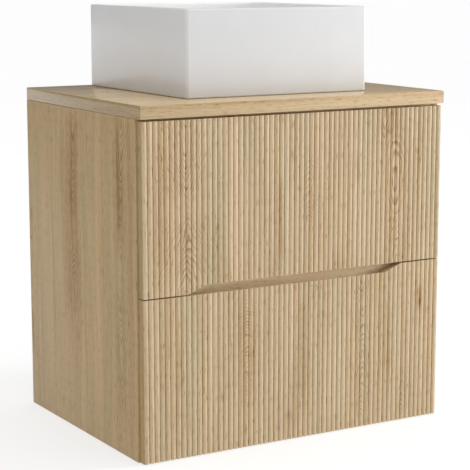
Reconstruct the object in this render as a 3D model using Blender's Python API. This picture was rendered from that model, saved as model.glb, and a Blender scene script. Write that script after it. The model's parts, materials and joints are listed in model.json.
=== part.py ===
"""Wall-hung bathroom vanity, 600 mm wide, with two fluted drawers and a square vessel basin.

Metres, +Z up. The origin is the middle of the footprint, at the bottom. The front faces -Y and the
wall is the plane y = +DEPTH / 2. All pieces keep CLEARANCE to the pieces they touch.
"""

import math

import bmesh
import bpy
from mathutils import Matrix, Vector

# ---- overall sizes -------------------------------------------------------------------------------
WIDTH = 0.600
DEPTH = 0.445
BODY_HEIGHT = 0.564
TOP_THICKNESS = 0.022
TOP_EDGE_RADIUS = 0.0012
PANEL = 0.016
CLEARANCE = 0.0003

# ---- drawer fronts -------------------------------------------------------------------------------
FRONT_THICKNESS = 0.016
FRONT_SETBACK = 0.0018
FRONT_REVEAL = 0.001
FRONT_SIDE_INSET = 0.003
FRONTS_BOTTOM = 0.001
FRONTS_SHADOW_GAP = 0.004
JOINT_GAP = 0.0022
FINGER_GAP = 0.0156
FINGER_HALF_LENGTH = 0.178
FINGER_SLOPE_LENGTH = 0.036
GRIP_BEVEL_HEIGHT = 0.010
GRIP_LIP = 0.003
RIB_COUNT = 60
RIB_DEPTH = 0.0018
RIB_CROWN_SHARE = 0.45

# ---- carcass rails -------------------------------------------------------------------------------
TOP_RAIL_WIDTH = 0.080
MIDDLE_RAIL_HEIGHT = 0.050
BACK_TOP_RAIL_HEIGHT = 0.100
BACK_BOTTOM_RAIL_HEIGHT = 0.080
HOOK_NOTCH_PLAY = 0.008
HOOK_NOTCH_FALL = 0.032

# ---- drawer boxes --------------------------------------------------------------------------------
BOX_WALL = 0.012
BOX_BOTTOM = 0.008
BOX_BOTTOM_RAISE = 0.008
GROOVE_DEPTH = 0.006
BOX_BACK_SPACE = 0.041
UPPER_BOX_HEAD_SPACE = 0.042
BOX_RAIL_CLEARANCE = 0.010
TRAP_CUTOUT_HALF_WIDTH = 0.075
TRAP_CUTOUT_AHEAD = 0.070
SCREW_OFFSET_X = 0.180
SCREW_HEAD_RADIUS = 0.0045
SCREW_HEAD_HEIGHT = 0.0025
SCREW_SHANK_RADIUS = 0.002
SCREW_BITE = 0.009

# ---- ball runners, measured inwards from the side panel ------------------------------------------
RUNNER_SPACE = 0.0127
RUNNER_SETBACK = 0.002
RUNNER_BACK_INSET = 0.0172
RUNNER_SHEET = 0.0012
RUNNER_PLAY = 0.001
CABINET_MEMBER_HEIGHT = 0.045
CABINET_MEMBER_WIDTH = 0.0095
CABINET_MEMBER_LIP = 0.003
MIDDLE_MEMBER_OFFSET = 0.003
RUNNER_RISE = 0.045

# ---- basin ---------------------------------------------------------------------------------------
BASIN_SIDE = 0.360
BASIN_HEIGHT = 0.147
BASIN_BACK_GAP = 0.017
BASIN_RIM = 0.010
BASIN_OUTER_RADIUS = 0.006
BASIN_EDGE_RADIUS = 0.003
BASIN_INNER_RADIUS = 0.018
BASIN_DRAFT = 0.004
BASIN_FLOOR = 0.020
BASIN_FLOOR_FILLET = 0.016
BASIN_FALL = 0.005
BASIN_FOOT = 0.024
BASIN_RECESS = 0.004
CORNER_STEPS = 6

# ---- waste and trap ------------------------------------------------------------------------------
WASTE_RADIUS = 0.020
WASTE_WALL = 0.003
WASTE_LENGTH = 0.112
DRAIN_PLAY = 0.0025
FLANGE_WIDTH = 0.012
FLANGE_THICKNESS = 0.003
SEAL_THICKNESS = 0.002
PLUG_INSET = 0.003
PLUG_THICKNESS = 0.004
PLUG_LIFT = 0.001
PLUG_STEM_RADIUS = 0.005
PLUG_STEM_LENGTH = 0.030
WASTE_NUT_WALL = 0.014
WASTE_NUT_HEIGHT = 0.009
PIPE_PLAY = 0.001
PIPE_WALL = 0.002
DIP_PIPE_REACH = 0.017
DIP_PIPE_DEPTH = 0.026
UNION_NUT_WALL = 0.007
INLET_NUT_HEIGHT = 0.022
TRAP_CHAMBER = 0.018
TRAP_WALL = 0.003
TRAP_DROP = 0.048
TRAP_HEAD_HEIGHT = 2.3 * WASTE_RADIUS
TRAP_CUP_HEIGHT = 0.060
OUTLET_STUB_LENGTH = 0.058
OUTLET_NUT_LENGTH = 0.020
ROSETTE_RADIUS = 0.036
ROSETTE_DEPTH = 0.006
ROUND_STEPS = 32
SMALL_STEPS = 12

# ---- hangers -------------------------------------------------------------------------------------
HANGER_WIDTH = 0.014
HANGER_DEPTH = 0.062
HANGER_HEIGHT = 0.055
HANGER_RAIL_GAP = 0.002
HOOK_SHEET = 0.0025
HOOK_ARM = 0.012
HOOK_DROP = 0.016

# ---- travel --------------------------------------------------------------------------------------
# The drawers slide along -Y by the length of their runners, the middle runner members follow at half
# of it, and the plug rises 8 mm. The solids stand at the closed position.

# ---- levels and planes that follow ---------------------------------------------------------------
SIDE_X = WIDTH / 2
INNER_X = SIDE_X - PANEL
WALL_Y = DEPTH / 2
TOP_FRONT_Y = -DEPTH / 2
RIB_CREST_Y = TOP_FRONT_Y + FRONT_SETBACK
FRONT_BACK_Y = RIB_CREST_Y + FRONT_THICKNESS
CARCASS_Y = FRONT_BACK_Y + FRONT_REVEAL
CARCASS_TOP = BODY_HEIGHT - CLEARANCE
TOP_LEVEL = BODY_HEIGHT + TOP_THICKNESS
FRONTS_TOP = BODY_HEIGHT - FRONTS_SHADOW_GAP
FRONTS_MIDDLE = (FRONTS_BOTTOM + FRONTS_TOP) / 2
FRONT_HALF_WIDTH = SIDE_X - FRONT_SIDE_INSET
MIDDLE_RAIL_LOW = FRONTS_MIDDLE - MIDDLE_RAIL_HEIGHT / 2
MIDDLE_RAIL_HIGH = FRONTS_MIDDLE + MIDDLE_RAIL_HEIGHT / 2
LOWER_BOX_LOW = PANEL + BOX_RAIL_CLEARANCE
LOWER_BOX_HIGH = MIDDLE_RAIL_LOW - BOX_RAIL_CLEARANCE
UPPER_BOX_LOW = MIDDLE_RAIL_HIGH + BOX_RAIL_CLEARANCE
UPPER_BOX_HIGH = CARCASS_TOP - PANEL - UPPER_BOX_HEAD_SPACE
BOX_X = INNER_X - RUNNER_SPACE
BOX_FRONT_Y = FRONT_BACK_Y + CLEARANCE
BOX_BACK_Y = WALL_Y - PANEL - BOX_BACK_SPACE
RUNNER_FRONT_Y = CARCASS_Y + RUNNER_SETBACK
RUNNER_BACK_Y = BOX_BACK_Y - RUNNER_BACK_INSET
BASIN_Y = WALL_Y - BASIN_BACK_GAP - BASIN_SIDE / 2
BASIN_LOW = TOP_LEVEL + CLEARANCE
DRAIN_LEVEL = BASIN_LOW + BASIN_FLOOR - BASIN_FALL
DRAIN_RADIUS = WASTE_RADIUS + DRAIN_PLAY
FLANGE_RADIUS = WASTE_RADIUS + FLANGE_WIDTH
PLUG_RADIUS = FLANGE_RADIUS - PLUG_INSET
UNION_NUT_RADIUS = WASTE_RADIUS + UNION_NUT_WALL
PIPE_RADIUS = WASTE_RADIUS - WASTE_WALL - PIPE_PLAY
TRAP_RADIUS = PIPE_RADIUS + TRAP_CHAMBER
FLANGE_LOW = DRAIN_LEVEL + SEAL_THICKNESS + 2 * CLEARANCE
FLANGE_HIGH = FLANGE_LOW + FLANGE_THICKNESS
WASTE_TOP = FLANGE_LOW - CLEARANCE
WASTE_BOTTOM = WASTE_TOP - WASTE_LENGTH
TRAP_HEAD_TOP = WASTE_BOTTOM - TRAP_DROP
TRAP_HEAD_LOW = TRAP_HEAD_TOP - TRAP_HEAD_HEIGHT
OUTLET_HEIGHT = (TRAP_HEAD_TOP + TRAP_HEAD_LOW) / 2


def clear_scene():
    for item in list(bpy.data.objects):
        bpy.data.objects.remove(item, do_unlink=True)


def finish(name, colour, roughness, metallic=0.0):
    """A plain Principled material."""
    material = bpy.data.materials.new(name)
    material.use_nodes = True
    shader = material.node_tree.nodes["Principled BSDF"]
    shader.inputs["Base Color"].default_value = (*colour, 1.0)
    shader.inputs["Roughness"].default_value = roughness
    shader.inputs["Metallic"].default_value = metallic
    material.diffuse_color = (*colour, 1.0)
    return material


def add_object(name, mesh_source, material, parent=None):
    """Turns a bmesh into a named object; with a parent, its points are taken relative to the parent."""
    bmesh.ops.recalc_face_normals(mesh_source, faces=mesh_source.faces)
    if parent is not None:
        bmesh.ops.translate(mesh_source, verts=mesh_source.verts, vec=-parent.location)
    mesh = bpy.data.meshes.new(name)
    mesh_source.to_mesh(mesh)
    mesh_source.free()
    mesh.materials.append(material)
    item = bpy.data.objects.new(name, mesh)
    item.parent = parent
    bpy.context.scene.collection.objects.link(item)
    return item


def joint_empty(name, place):
    """An empty on a joint axis, which carries the pieces that move together."""
    empty = bpy.data.objects.new(name, None)
    empty.location = place
    bpy.context.scene.collection.objects.link(empty)
    return empty


def box_mesh(low, high):
    shape = bmesh.new()
    middle = (Vector(low) + Vector(high)) / 2
    size = Vector(high) - Vector(low)
    bmesh.ops.create_cube(shape, size=1.0, matrix=Matrix.Translation(middle) @ Matrix.Diagonal((*size, 1.0)))
    return shape


def add_box(name, low, high, material, parent=None):
    return add_object(name, box_mesh(low, high), material, parent)


def prism_mesh(outline, place, start, end):
    """Extrudes a flat outline from start to end; place(a, b, t) is outline point (a, b) at depth t."""
    shape = bmesh.new()
    near = shape.faces.new([shape.verts.new(place(a, b, start)) for a, b in outline])
    extruded = bmesh.ops.extrude_face_region(shape, geom=[near], use_keep_orig=True)
    far = [v for v in extruded["geom"] if isinstance(v, bmesh.types.BMVert)]
    shift = place(0.0, 0.0, end) - place(0.0, 0.0, start)
    bmesh.ops.translate(shape, verts=far, vec=shift)
    return shape


def along_x(a, b, t):
    """An outline in (Y, Z), extruded along X."""
    return Vector((t, a, b))


def along_y(a, b, t):
    """An outline in (X, Z), extruded along Y."""
    return Vector((a, t, b))


def along_z(a, b, t):
    """An outline in (X, Y), extruded along Z."""
    return Vector((a, b, t))


def turned_mesh(profile, centre, axis, steps=ROUND_STEPS):
    """Spins a closed (radius, height) profile about an axis through centre."""
    shape = bmesh.new()
    turn_axis = Vector(axis)
    side = Vector((1.0, 0.0, 0.0))
    points = [shape.verts.new(Vector(centre) + side * r + turn_axis * h) for r, h in profile]
    edges = [shape.edges.new((a, b)) for a, b in zip(points, points[1:] + points[:1])]
    bmesh.ops.spin(shape, geom=edges, cent=centre, axis=axis, angle=2 * math.pi, steps=steps, use_merge=False)
    bmesh.ops.remove_doubles(shape, verts=shape.verts, dist=1e-6)
    return shape


def ring_profile(inner, outer, low, high):
    return [(inner, low), (outer, low), (outer, high), (inner, high)]


def add_ring(name, inner, outer, low, high, material, parent=None, steps=ROUND_STEPS):
    """A plain ring about the drain axis."""
    shape = turned_mesh(ring_profile(inner, outer, low, high), (0, BASIN_Y, 0), (0, 0, 1), steps)
    return add_object(name, shape, material, parent)


def cut(target, name, cutter_mesh, operation="DIFFERENCE"):
    """Boolean of target with a helper solid, which stays in the file as a hidden wire."""
    helper = add_object(name, cutter_mesh, target.data.materials[0], target.parent)
    helper.hide_render = True
    helper.display_type = "WIRE"
    modifier = target.modifiers.new(name, "BOOLEAN")
    modifier.operation = operation
    modifier.solver = "EXACT"
    modifier.object = helper
    return helper


def cylinder_mesh(radius, start, end, steps):
    """A plain cylinder between two points on a line along Y or Z."""
    axis = (Vector(end) - Vector(start)).normalized()
    length = (Vector(end) - Vector(start)).length
    return turned_mesh([(0, 0), (radius, 0), (radius, length), (0, length)], start, axis, steps)


# ---- carcass -------------------------------------------------------------------------------------
def build_sides(oak):
    for name, outer, inner in (("left_side_panel", -SIDE_X, -INNER_X), ("right_side_panel", INNER_X, SIDE_X)):
        add_box(name, (outer, CARCASS_Y, 0), (inner, WALL_Y, CARCASS_TOP), oak)


def build_rails(oak):
    left = -INNER_X + CLEARANCE
    right = INNER_X - CLEARANCE
    back = WALL_Y - PANEL - CLEARANCE
    add_box("bottom_panel", (left, CARCASS_Y, 0), (right, back, PANEL), oak)
    rail_low = CARCASS_TOP - PANEL
    far = CARCASS_Y + TOP_RAIL_WIDTH
    add_box("front_top_rail", (left, CARCASS_Y, rail_low), (right, far, CARCASS_TOP), oak)
    far = CARCASS_Y + PANEL
    add_box("middle_rail", (left, CARCASS_Y, MIDDLE_RAIL_LOW), (right, far, MIDDLE_RAIL_HIGH), oak)
    add_box("back_bottom_rail", (left, WALL_Y - PANEL, 0), (right, WALL_Y, BACK_BOTTOM_RAIL_HEIGHT), oak)
    notch_x = right - HANGER_WIDTH - HOOK_SHEET - HOOK_NOTCH_PLAY
    low = CARCASS_TOP - BACK_TOP_RAIL_HEIGHT
    notch_z = CARCASS_TOP - HOOK_DROP - HOOK_NOTCH_FALL
    half = [(right, low), (right, notch_z), (notch_x, notch_z), (notch_x, CARCASS_TOP)]
    outline = half + [(-x, z) for x, z in reversed(half)]
    add_object("back_top_rail", prism_mesh(outline, along_y, WALL_Y - PANEL, WALL_Y), oak)


def build_countertop(oak):
    shape = box_mesh((-SIDE_X, TOP_FRONT_Y, BODY_HEIGHT), (SIDE_X, WALL_Y, TOP_LEVEL))
    edges = shape.edges[:]
    bmesh.ops.bevel(shape, geom=edges, offset=TOP_EDGE_RADIUS, segments=2, profile=0.5, affect="EDGES")
    top = add_object("countertop", shape, oak)
    low = (0, BASIN_Y, BODY_HEIGHT - PANEL)
    high = (0, BASIN_Y, TOP_LEVEL + PANEL)
    cut(top, "countertop_drain_hole", cylinder_mesh(DRAIN_RADIUS, low, high, ROUND_STEPS))


def build_hangers(steel, plastic):
    """A housing on each side panel, with a hook plate that reaches the wall through the notch in the rail."""
    high = CARCASS_TOP - CLEARANCE
    back_y = WALL_Y - PANEL - HANGER_RAIL_GAP
    front_y = back_y - HANGER_DEPTH
    arm_low = high - HOOK_ARM
    tip_low = high - HOOK_DROP
    hook = [(front_y, arm_low), (WALL_Y - HOOK_SHEET, arm_low), (WALL_Y - HOOK_SHEET, tip_low)]
    hook += [(WALL_Y, tip_low), (WALL_Y, high), (front_y, high)]
    for side, sign in (("left", -1), ("right", 1)):
        wall_x = sign * (INNER_X - CLEARANCE)
        inner_x = wall_x - sign * HANGER_WIDTH
        low_x, high_x = sorted((wall_x, inner_x))
        low = (low_x, front_y, high - HANGER_HEIGHT)
        add_box(f"{side}_hanger_housing", low, (high_x, back_y, high), plastic)
        near = inner_x - sign * CLEARANCE
        add_object(f"{side}_hanger_hook", prism_mesh(hook, along_x, near, near - sign * HOOK_SHEET), steel)


# ---- drawer fronts -------------------------------------------------------------------------------
def rib_outline():
    """The plan of a fluted front: flat back, and a crowned rib between each two valleys."""
    pitch = 2 * FRONT_HALF_WIDTH / RIB_COUNT
    crown = pitch * RIB_CROWN_SHARE / 2
    valley_y = RIB_CREST_Y + RIB_DEPTH
    end = FRONT_HALF_WIDTH
    outline = [(end, FRONT_BACK_Y), (-end, FRONT_BACK_Y), (-end, valley_y)]
    for index in range(RIB_COUNT):
        middle = (index + 0.5) * pitch - end
        outline += [(middle - crown, RIB_CREST_Y), (middle + crown, RIB_CREST_Y)]
        outline.append((middle + pitch / 2, valley_y))
    return outline


def front_edge_cutter():
    """What the stepped lower edge leaves out of the upper front, as seen from the front."""
    low = FRONTS_MIDDLE - FINGER_GAP / 2 + JOINT_GAP
    high = FRONTS_MIDDLE + FINGER_GAP / 2
    below = FRONTS_MIDDLE - 2 * FINGER_GAP
    foot_x = -FINGER_HALF_LENGTH - FINGER_SLOPE_LENGTH
    outer = SIDE_X + PANEL
    outline = [(-outer, below), (outer, below), (outer, high)]
    outline += [(-FINGER_HALF_LENGTH, high), (foot_x, low), (-outer, low)]
    return prism_mesh(outline, along_y, RIB_CREST_Y - PANEL, FRONT_BACK_Y + PANEL)


def grip_bevel_cutter():
    """The undercut that fingers reach behind, along the raised part of the edge."""
    high = FRONTS_MIDDLE + FINGER_GAP / 2
    lip_y = RIB_CREST_Y + RIB_DEPTH + GRIP_LIP
    slope = GRIP_BEVEL_HEIGHT / (FRONT_BACK_Y - lip_y)
    back_y = FRONT_BACK_Y + PANEL
    back_z = high + slope * (back_y - lip_y)
    outline = [(lip_y, high), (lip_y, high - PANEL), (back_y, high - PANEL), (back_y, back_z)]
    return prism_mesh(outline, along_x, -FINGER_HALF_LENGTH, FINGER_HALF_LENGTH)


def screw_places():
    """(x, z) of the two fixing screws, in the upper front."""
    height = (UPPER_BOX_LOW + UPPER_BOX_HIGH) / 2
    return [(-SCREW_OFFSET_X, height), (SCREW_OFFSET_X, height)]


def turn_over(shape):
    """Half a turn about the Y axis at the middle of the two fronts, which takes one front to the other."""
    middle = Vector((0, 0, FRONTS_MIDDLE))
    bmesh.ops.rotate(shape, verts=shape.verts, cent=middle, matrix=Matrix.Rotation(math.pi, 3, "Y"))
    return shape


def build_front(name, oak, carrier, turned):
    """Both fronts are one shape; the lower one stands on its head."""
    place = turn_over if turned else (lambda shape: shape)
    slab_low = FRONTS_MIDDLE - FINGER_GAP
    front = add_object(name, place(prism_mesh(rib_outline(), along_z, slab_low, FRONTS_TOP)), oak, carrier)
    cut(front, f"{name}_edge_cutter", place(front_edge_cutter()))
    cut(front, f"{name}_grip_cutter", place(grip_bevel_cutter()))
    bite_y = FRONT_BACK_Y - SCREW_BITE - 2 * CLEARANCE
    for index, (x, z) in enumerate(screw_places()):
        end = (x, FRONT_BACK_Y + PANEL, z)
        drill = cylinder_mesh(SCREW_SHANK_RADIUS + CLEARANCE, (x, bite_y, z), end, SMALL_STEPS)
        cut(front, f"{name}_pilot_{index}", place(drill))


# ---- drawer boxes --------------------------------------------------------------------------------
def groove_cutter(low):
    """The space of a drawer bottom in the grooves around it."""
    reach = BOX_X - BOX_WALL + GROOVE_DEPTH
    near = BOX_FRONT_Y + BOX_WALL - GROOVE_DEPTH
    far = BOX_BACK_Y - BOX_WALL + GROOVE_DEPTH
    z = low + BOX_BOTTOM_RAISE
    return box_mesh((-reach, near, z), (reach, far, z + BOX_BOTTOM))


def build_box_walls(drawer, low, high, melamine, carrier):
    """The two sides and the inner front, each grooved for the bottom."""
    inner = BOX_X - BOX_WALL
    sides = [(f"{drawer}_box_left_side", -BOX_X, -inner), (f"{drawer}_box_right_side", inner, BOX_X)]
    for name, x_low, x_high in sides:
        wall = add_box(name, (x_low, BOX_FRONT_Y, low), (x_high, BOX_BACK_Y, high), melamine, carrier)
        cut(wall, f"{name}_groove", groove_cutter(low))
    across = inner - CLEARANCE
    near = (-across, BOX_FRONT_Y, low)
    far = (across, BOX_FRONT_Y + BOX_WALL, high)
    inner_front = add_box(f"{drawer}_box_inner_front", near, far, melamine, carrier)
    cut(inner_front, f"{drawer}_inner_front_groove", groove_cutter(low))
    return inner_front


def build_screws(drawer, height, inner_front, steel, carrier):
    """Two screws from inside the box into the back of the front."""
    head_y = BOX_FRONT_Y + BOX_WALL + CLEARANCE
    tip_y = FRONT_BACK_Y - SCREW_BITE
    for index, x in enumerate((-SCREW_OFFSET_X, SCREW_OFFSET_X)):
        name = f"{drawer}_front_screw_{index + 1}"
        start = (x, BOX_FRONT_Y - PANEL, height)
        end = (x, head_y + PANEL, height)
        drill = cylinder_mesh(SCREW_SHANK_RADIUS + CLEARANCE, start, end, SMALL_STEPS)
        cut(inner_front, f"{name}_hole", drill)
        shank = head_y - tip_y
        profile = [(0, 0), (SCREW_SHANK_RADIUS, 0), (SCREW_SHANK_RADIUS, shank), (SCREW_HEAD_RADIUS, shank)]
        profile += [(SCREW_HEAD_RADIUS, shank + SCREW_HEAD_HEIGHT), (0, shank + SCREW_HEAD_HEIGHT)]
        add_object(name, turned_mesh(profile, (x, tip_y, height), (0, 1, 0), SMALL_STEPS), steel, carrier)


def bottom_limits(low):
    """Corners of a drawer bottom, seated in its grooves."""
    reach = BOX_X - BOX_WALL + GROOVE_DEPTH - CLEARANCE
    near = BOX_FRONT_Y + BOX_WALL - GROOVE_DEPTH + CLEARANCE
    far = BOX_BACK_Y - BOX_WALL + GROOVE_DEPTH - CLEARANCE
    z = low + BOX_BOTTOM_RAISE + CLEARANCE
    return (-reach, near, z), (reach, far, z + BOX_BOTTOM - 2 * CLEARANCE)


def build_lower_box(melamine, steel, carrier):
    low, high = LOWER_BOX_LOW, LOWER_BOX_HIGH
    inner_front = build_box_walls("lower", low, high, melamine, carrier)
    screw_height = 2 * FRONTS_MIDDLE - (UPPER_BOX_LOW + UPPER_BOX_HIGH) / 2
    build_screws("lower", screw_height, inner_front, steel, carrier)
    near, far = bottom_limits(low)
    add_box("lower_box_bottom", near, far, melamine, carrier)
    across = BOX_X - BOX_WALL - CLEARANCE
    near = (-across, BOX_BACK_Y - BOX_WALL, low)
    back = add_box("lower_box_back", near, (across, BOX_BACK_Y, high), melamine, carrier)
    cut(back, "lower_back_groove", groove_cutter(low))


def build_upper_box(melamine, steel, carrier):
    """The upper box is cut out around the trap, with a U-shaped guard along the cut-out."""
    low, high = UPPER_BOX_LOW, UPPER_BOX_HIGH
    inner_front = build_box_walls("upper", low, high, melamine, carrier)
    build_screws("upper", (low + high) / 2, inner_front, steel, carrier)
    cutout = TRAP_CUTOUT_HALF_WIDTH
    ahead = BASIN_Y - TRAP_CUTOUT_AHEAD
    (left, near, z_low), (right, far, z_high) = bottom_limits(low)
    half = [(right, near), (right, far), (cutout, far), (cutout, ahead)]
    outline = half + [(-x, y) for x, y in reversed(half)]
    add_object("upper_box_bottom", prism_mesh(outline, along_z, z_low, z_high), melamine, carrier)
    outer = cutout + BOX_WALL
    guard = [(outer, ahead - BOX_WALL), (outer, BOX_BACK_Y), (cutout, BOX_BACK_Y), (cutout, ahead)]
    guard += [(-x, y) for x, y in reversed(guard)]
    shape = prism_mesh(guard, along_z, z_high + CLEARANCE, high)
    add_object("upper_trap_guard", shape, melamine, carrier)
    end = BOX_X - BOX_WALL - CLEARANCE
    start = outer + CLEARANCE
    for name, x_low, x_high in (("upper_box_back_left", -end, -start), ("upper_box_back_right", start, end)):
        near_corner = (x_low, BOX_BACK_Y - BOX_WALL, low)
        back = add_box(name, near_corner, (x_high, BOX_BACK_Y, high), melamine, carrier)
        cut(back, f"{name}_groove", groove_cutter(low))


# ---- runners -------------------------------------------------------------------------------------
def channel(web, rim, half_height, lip=0.0):
    """A folded C-section in (distance from the side panel, height), open at the rim side."""
    turn = 1 if rim > web else -1
    sheet = RUNNER_SHEET
    inner = half_height - sheet
    if lip:
        half = [(web, half_height), (rim, half_height), (rim, inner - lip), (rim - turn * sheet, inner - lip)]
        half += [(rim - turn * sheet, inner), (web + turn * sheet, inner)]
    else:
        half = [(web, half_height), (rim, half_height), (rim, inner), (web + turn * sheet, inner)]
    return half + [(d, -h) for d, h in reversed(half)]


def runner_sections():
    """The three nested sections, each with RUNNER_PLAY to the next."""
    cabinet_half = CABINET_MEMBER_HEIGHT / 2
    middle_half = cabinet_half - RUNNER_SHEET - RUNNER_PLAY
    drawer_half = middle_half - RUNNER_SHEET - RUNNER_PLAY - CABINET_MEMBER_LIP
    drawer_web = RUNNER_SPACE - CLEARANCE
    middle_rim = CABINET_MEMBER_WIDTH - RUNNER_SHEET - RUNNER_PLAY / 2
    drawer_rim = MIDDLE_MEMBER_OFFSET + RUNNER_SHEET + RUNNER_PLAY
    return {
        "cabinet": channel(CLEARANCE, CABINET_MEMBER_WIDTH, cabinet_half, CABINET_MEMBER_LIP),
        "middle": channel(MIDDLE_MEMBER_OFFSET, middle_rim, middle_half),
        "drawer": channel(drawer_web, drawer_rim, drawer_half),
    }


def build_runners(drawer, level, steel, carriers):
    """Both ball runners of one drawer; the middle members move on their own, at half the drawer's travel."""
    for side, sign in (("left", -1), ("right", 1)):
        for member, section in runner_sections().items():
            outline = [(sign * (INNER_X - distance), level + height) for distance, height in section]
            shape = prism_mesh(outline, along_y, RUNNER_FRONT_Y, RUNNER_BACK_Y)
            add_object(f"{drawer}_{side}_runner_{member}", shape, steel, carriers[member])


# ---- basin ---------------------------------------------------------------------------------------
def corner_ring(half, radius, z):
    """A square of half-width half with round corners, or a circle where half is None."""
    step = math.pi / 2 / CORNER_STEPS
    spread = 0.0 if half is None else half - radius * math.cos(step / 2)
    points = []
    for quarter in range(4):
        turn = quarter * math.pi / 2
        centre = Matrix.Rotation(turn, 3, "Z") @ Vector((spread, spread, 0))
        for index in range(CORNER_STEPS):
            angle = turn + (index + 0.5) * step
            points.append(centre + Vector((math.cos(angle), math.sin(angle), 0)) * radius)
    return [point + Vector((0, BASIN_Y, z)) for point in points]


def basin_rings():
    """Rings from the drain hole, out under the foot, up the outside, over the rim and down the bowl."""
    half = BASIN_SIDE / 2
    edge = BASIN_EDGE_RADIUS
    low = BASIN_LOW
    high = TOP_LEVEL + BASIN_HEIGHT
    outer = BASIN_OUTER_RADIUS
    inner = BASIN_INNER_RADIUS
    mouth = half - BASIN_RIM
    foot = half - BASIN_FOOT
    floor = low + BASIN_FLOOR
    bevel = edge * (1 - math.sqrt(0.5))
    rings = [corner_ring(None, DRAIN_RADIUS, low + BASIN_RECESS)]
    rings.append(corner_ring(foot - BASIN_RECESS, outer, low + BASIN_RECESS))
    rings.append(corner_ring(foot, outer, low))
    rings.append(corner_ring(half - edge, outer - edge / 2, low))
    rings.append(corner_ring(half, outer, low + edge))
    rings.append(corner_ring(half, outer, high - edge))
    rings.append(corner_ring(half - bevel, outer - bevel, high - bevel))
    rings.append(corner_ring(half - edge, outer - edge, high))
    rings.append(corner_ring(mouth + edge, inner + edge, high))
    rings.append(corner_ring(mouth + bevel, inner + bevel, high - bevel))
    rings.append(corner_ring(mouth, inner, high - edge))
    for share in (0.0, 1 / 3, 2 / 3, 1.0):
        angle = share * math.pi / 2
        sunk = BASIN_FLOOR_FILLET * (1 - math.cos(angle))
        rise = BASIN_FLOOR_FILLET * (1 - math.sin(angle))
        rings.append(corner_ring(mouth - BASIN_DRAFT - sunk, inner, floor + rise))
    rings.append(corner_ring(None, FLANGE_RADIUS + BASIN_RECESS, DRAIN_LEVEL))
    rings.append(corner_ring(None, DRAIN_RADIUS, DRAIN_LEVEL))
    return rings


def build_basin(ceramic):
    shape = bmesh.new()
    rings = [[shape.verts.new(point) for point in ring] for ring in basin_rings()]
    for ring, following in zip(rings, rings[1:] + rings[:1]):
        for index, corner in enumerate(ring):
            after = (index + 1) % len(ring)
            shape.faces.new((corner, ring[after], following[after], following[index]))
    add_object("basin", shape, ceramic)


def build_gasket(rubber):
    """A foam ring between the countertop and the hollow underside of the basin."""
    high = BASIN_LOW + BASIN_RECESS - CLEARANCE
    add_ring("basin_gasket", DRAIN_RADIUS + CLEARANCE, 2 * DRAIN_RADIUS, BASIN_LOW, high, rubber)


# ---- waste and trap ------------------------------------------------------------------------------
def build_waste(chrome, rubber, brass):
    throat = WASTE_RADIUS - WASTE_WALL
    seal_low = DRAIN_LEVEL + CLEARANCE
    bore = WASTE_RADIUS + CLEARANCE
    add_ring("waste_upper_seal", bore, FLANGE_RADIUS, seal_low, seal_low + SEAL_THICKNESS, rubber)
    add_ring("waste_flange", throat, FLANGE_RADIUS, FLANGE_LOW, FLANGE_HIGH, chrome)
    add_ring("waste_body", throat, WASTE_RADIUS, WASTE_BOTTOM, WASTE_TOP, brass)
    seal_high = BODY_HEIGHT - CLEARANCE
    seal_under = seal_high - SEAL_THICKNESS
    add_ring("waste_lower_seal", bore, FLANGE_RADIUS, seal_under, seal_high, rubber)
    nut_high = seal_under - CLEARANCE
    nut_low = nut_high - WASTE_NUT_HEIGHT
    add_ring("waste_nut", bore, WASTE_RADIUS + WASTE_NUT_WALL, nut_low, nut_high, brass)


def build_plug(chrome):
    """A push-button plug: a cap over the flange and a stem down the throat."""
    low = FLANGE_HIGH + PLUG_LIFT
    carrier = joint_empty("waste_plug_joint", (0, BASIN_Y, low))
    crown = low + PLUG_THICKNESS
    stem = low - PLUG_STEM_LENGTH
    profile = [(0, stem), (PLUG_STEM_RADIUS, stem), (PLUG_STEM_RADIUS, low)]
    profile += [(PLUG_RADIUS, low), (PLUG_RADIUS, crown - PLUG_THICKNESS / 2)]
    profile += [(PLUG_RADIUS - PLUG_THICKNESS / 2, crown - PLUG_THICKNESS / 8), (0, crown)]
    add_object("waste_plug", turned_mesh(profile, (0, BASIN_Y, 0), (0, 0, 1)), chrome, carrier)


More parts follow.
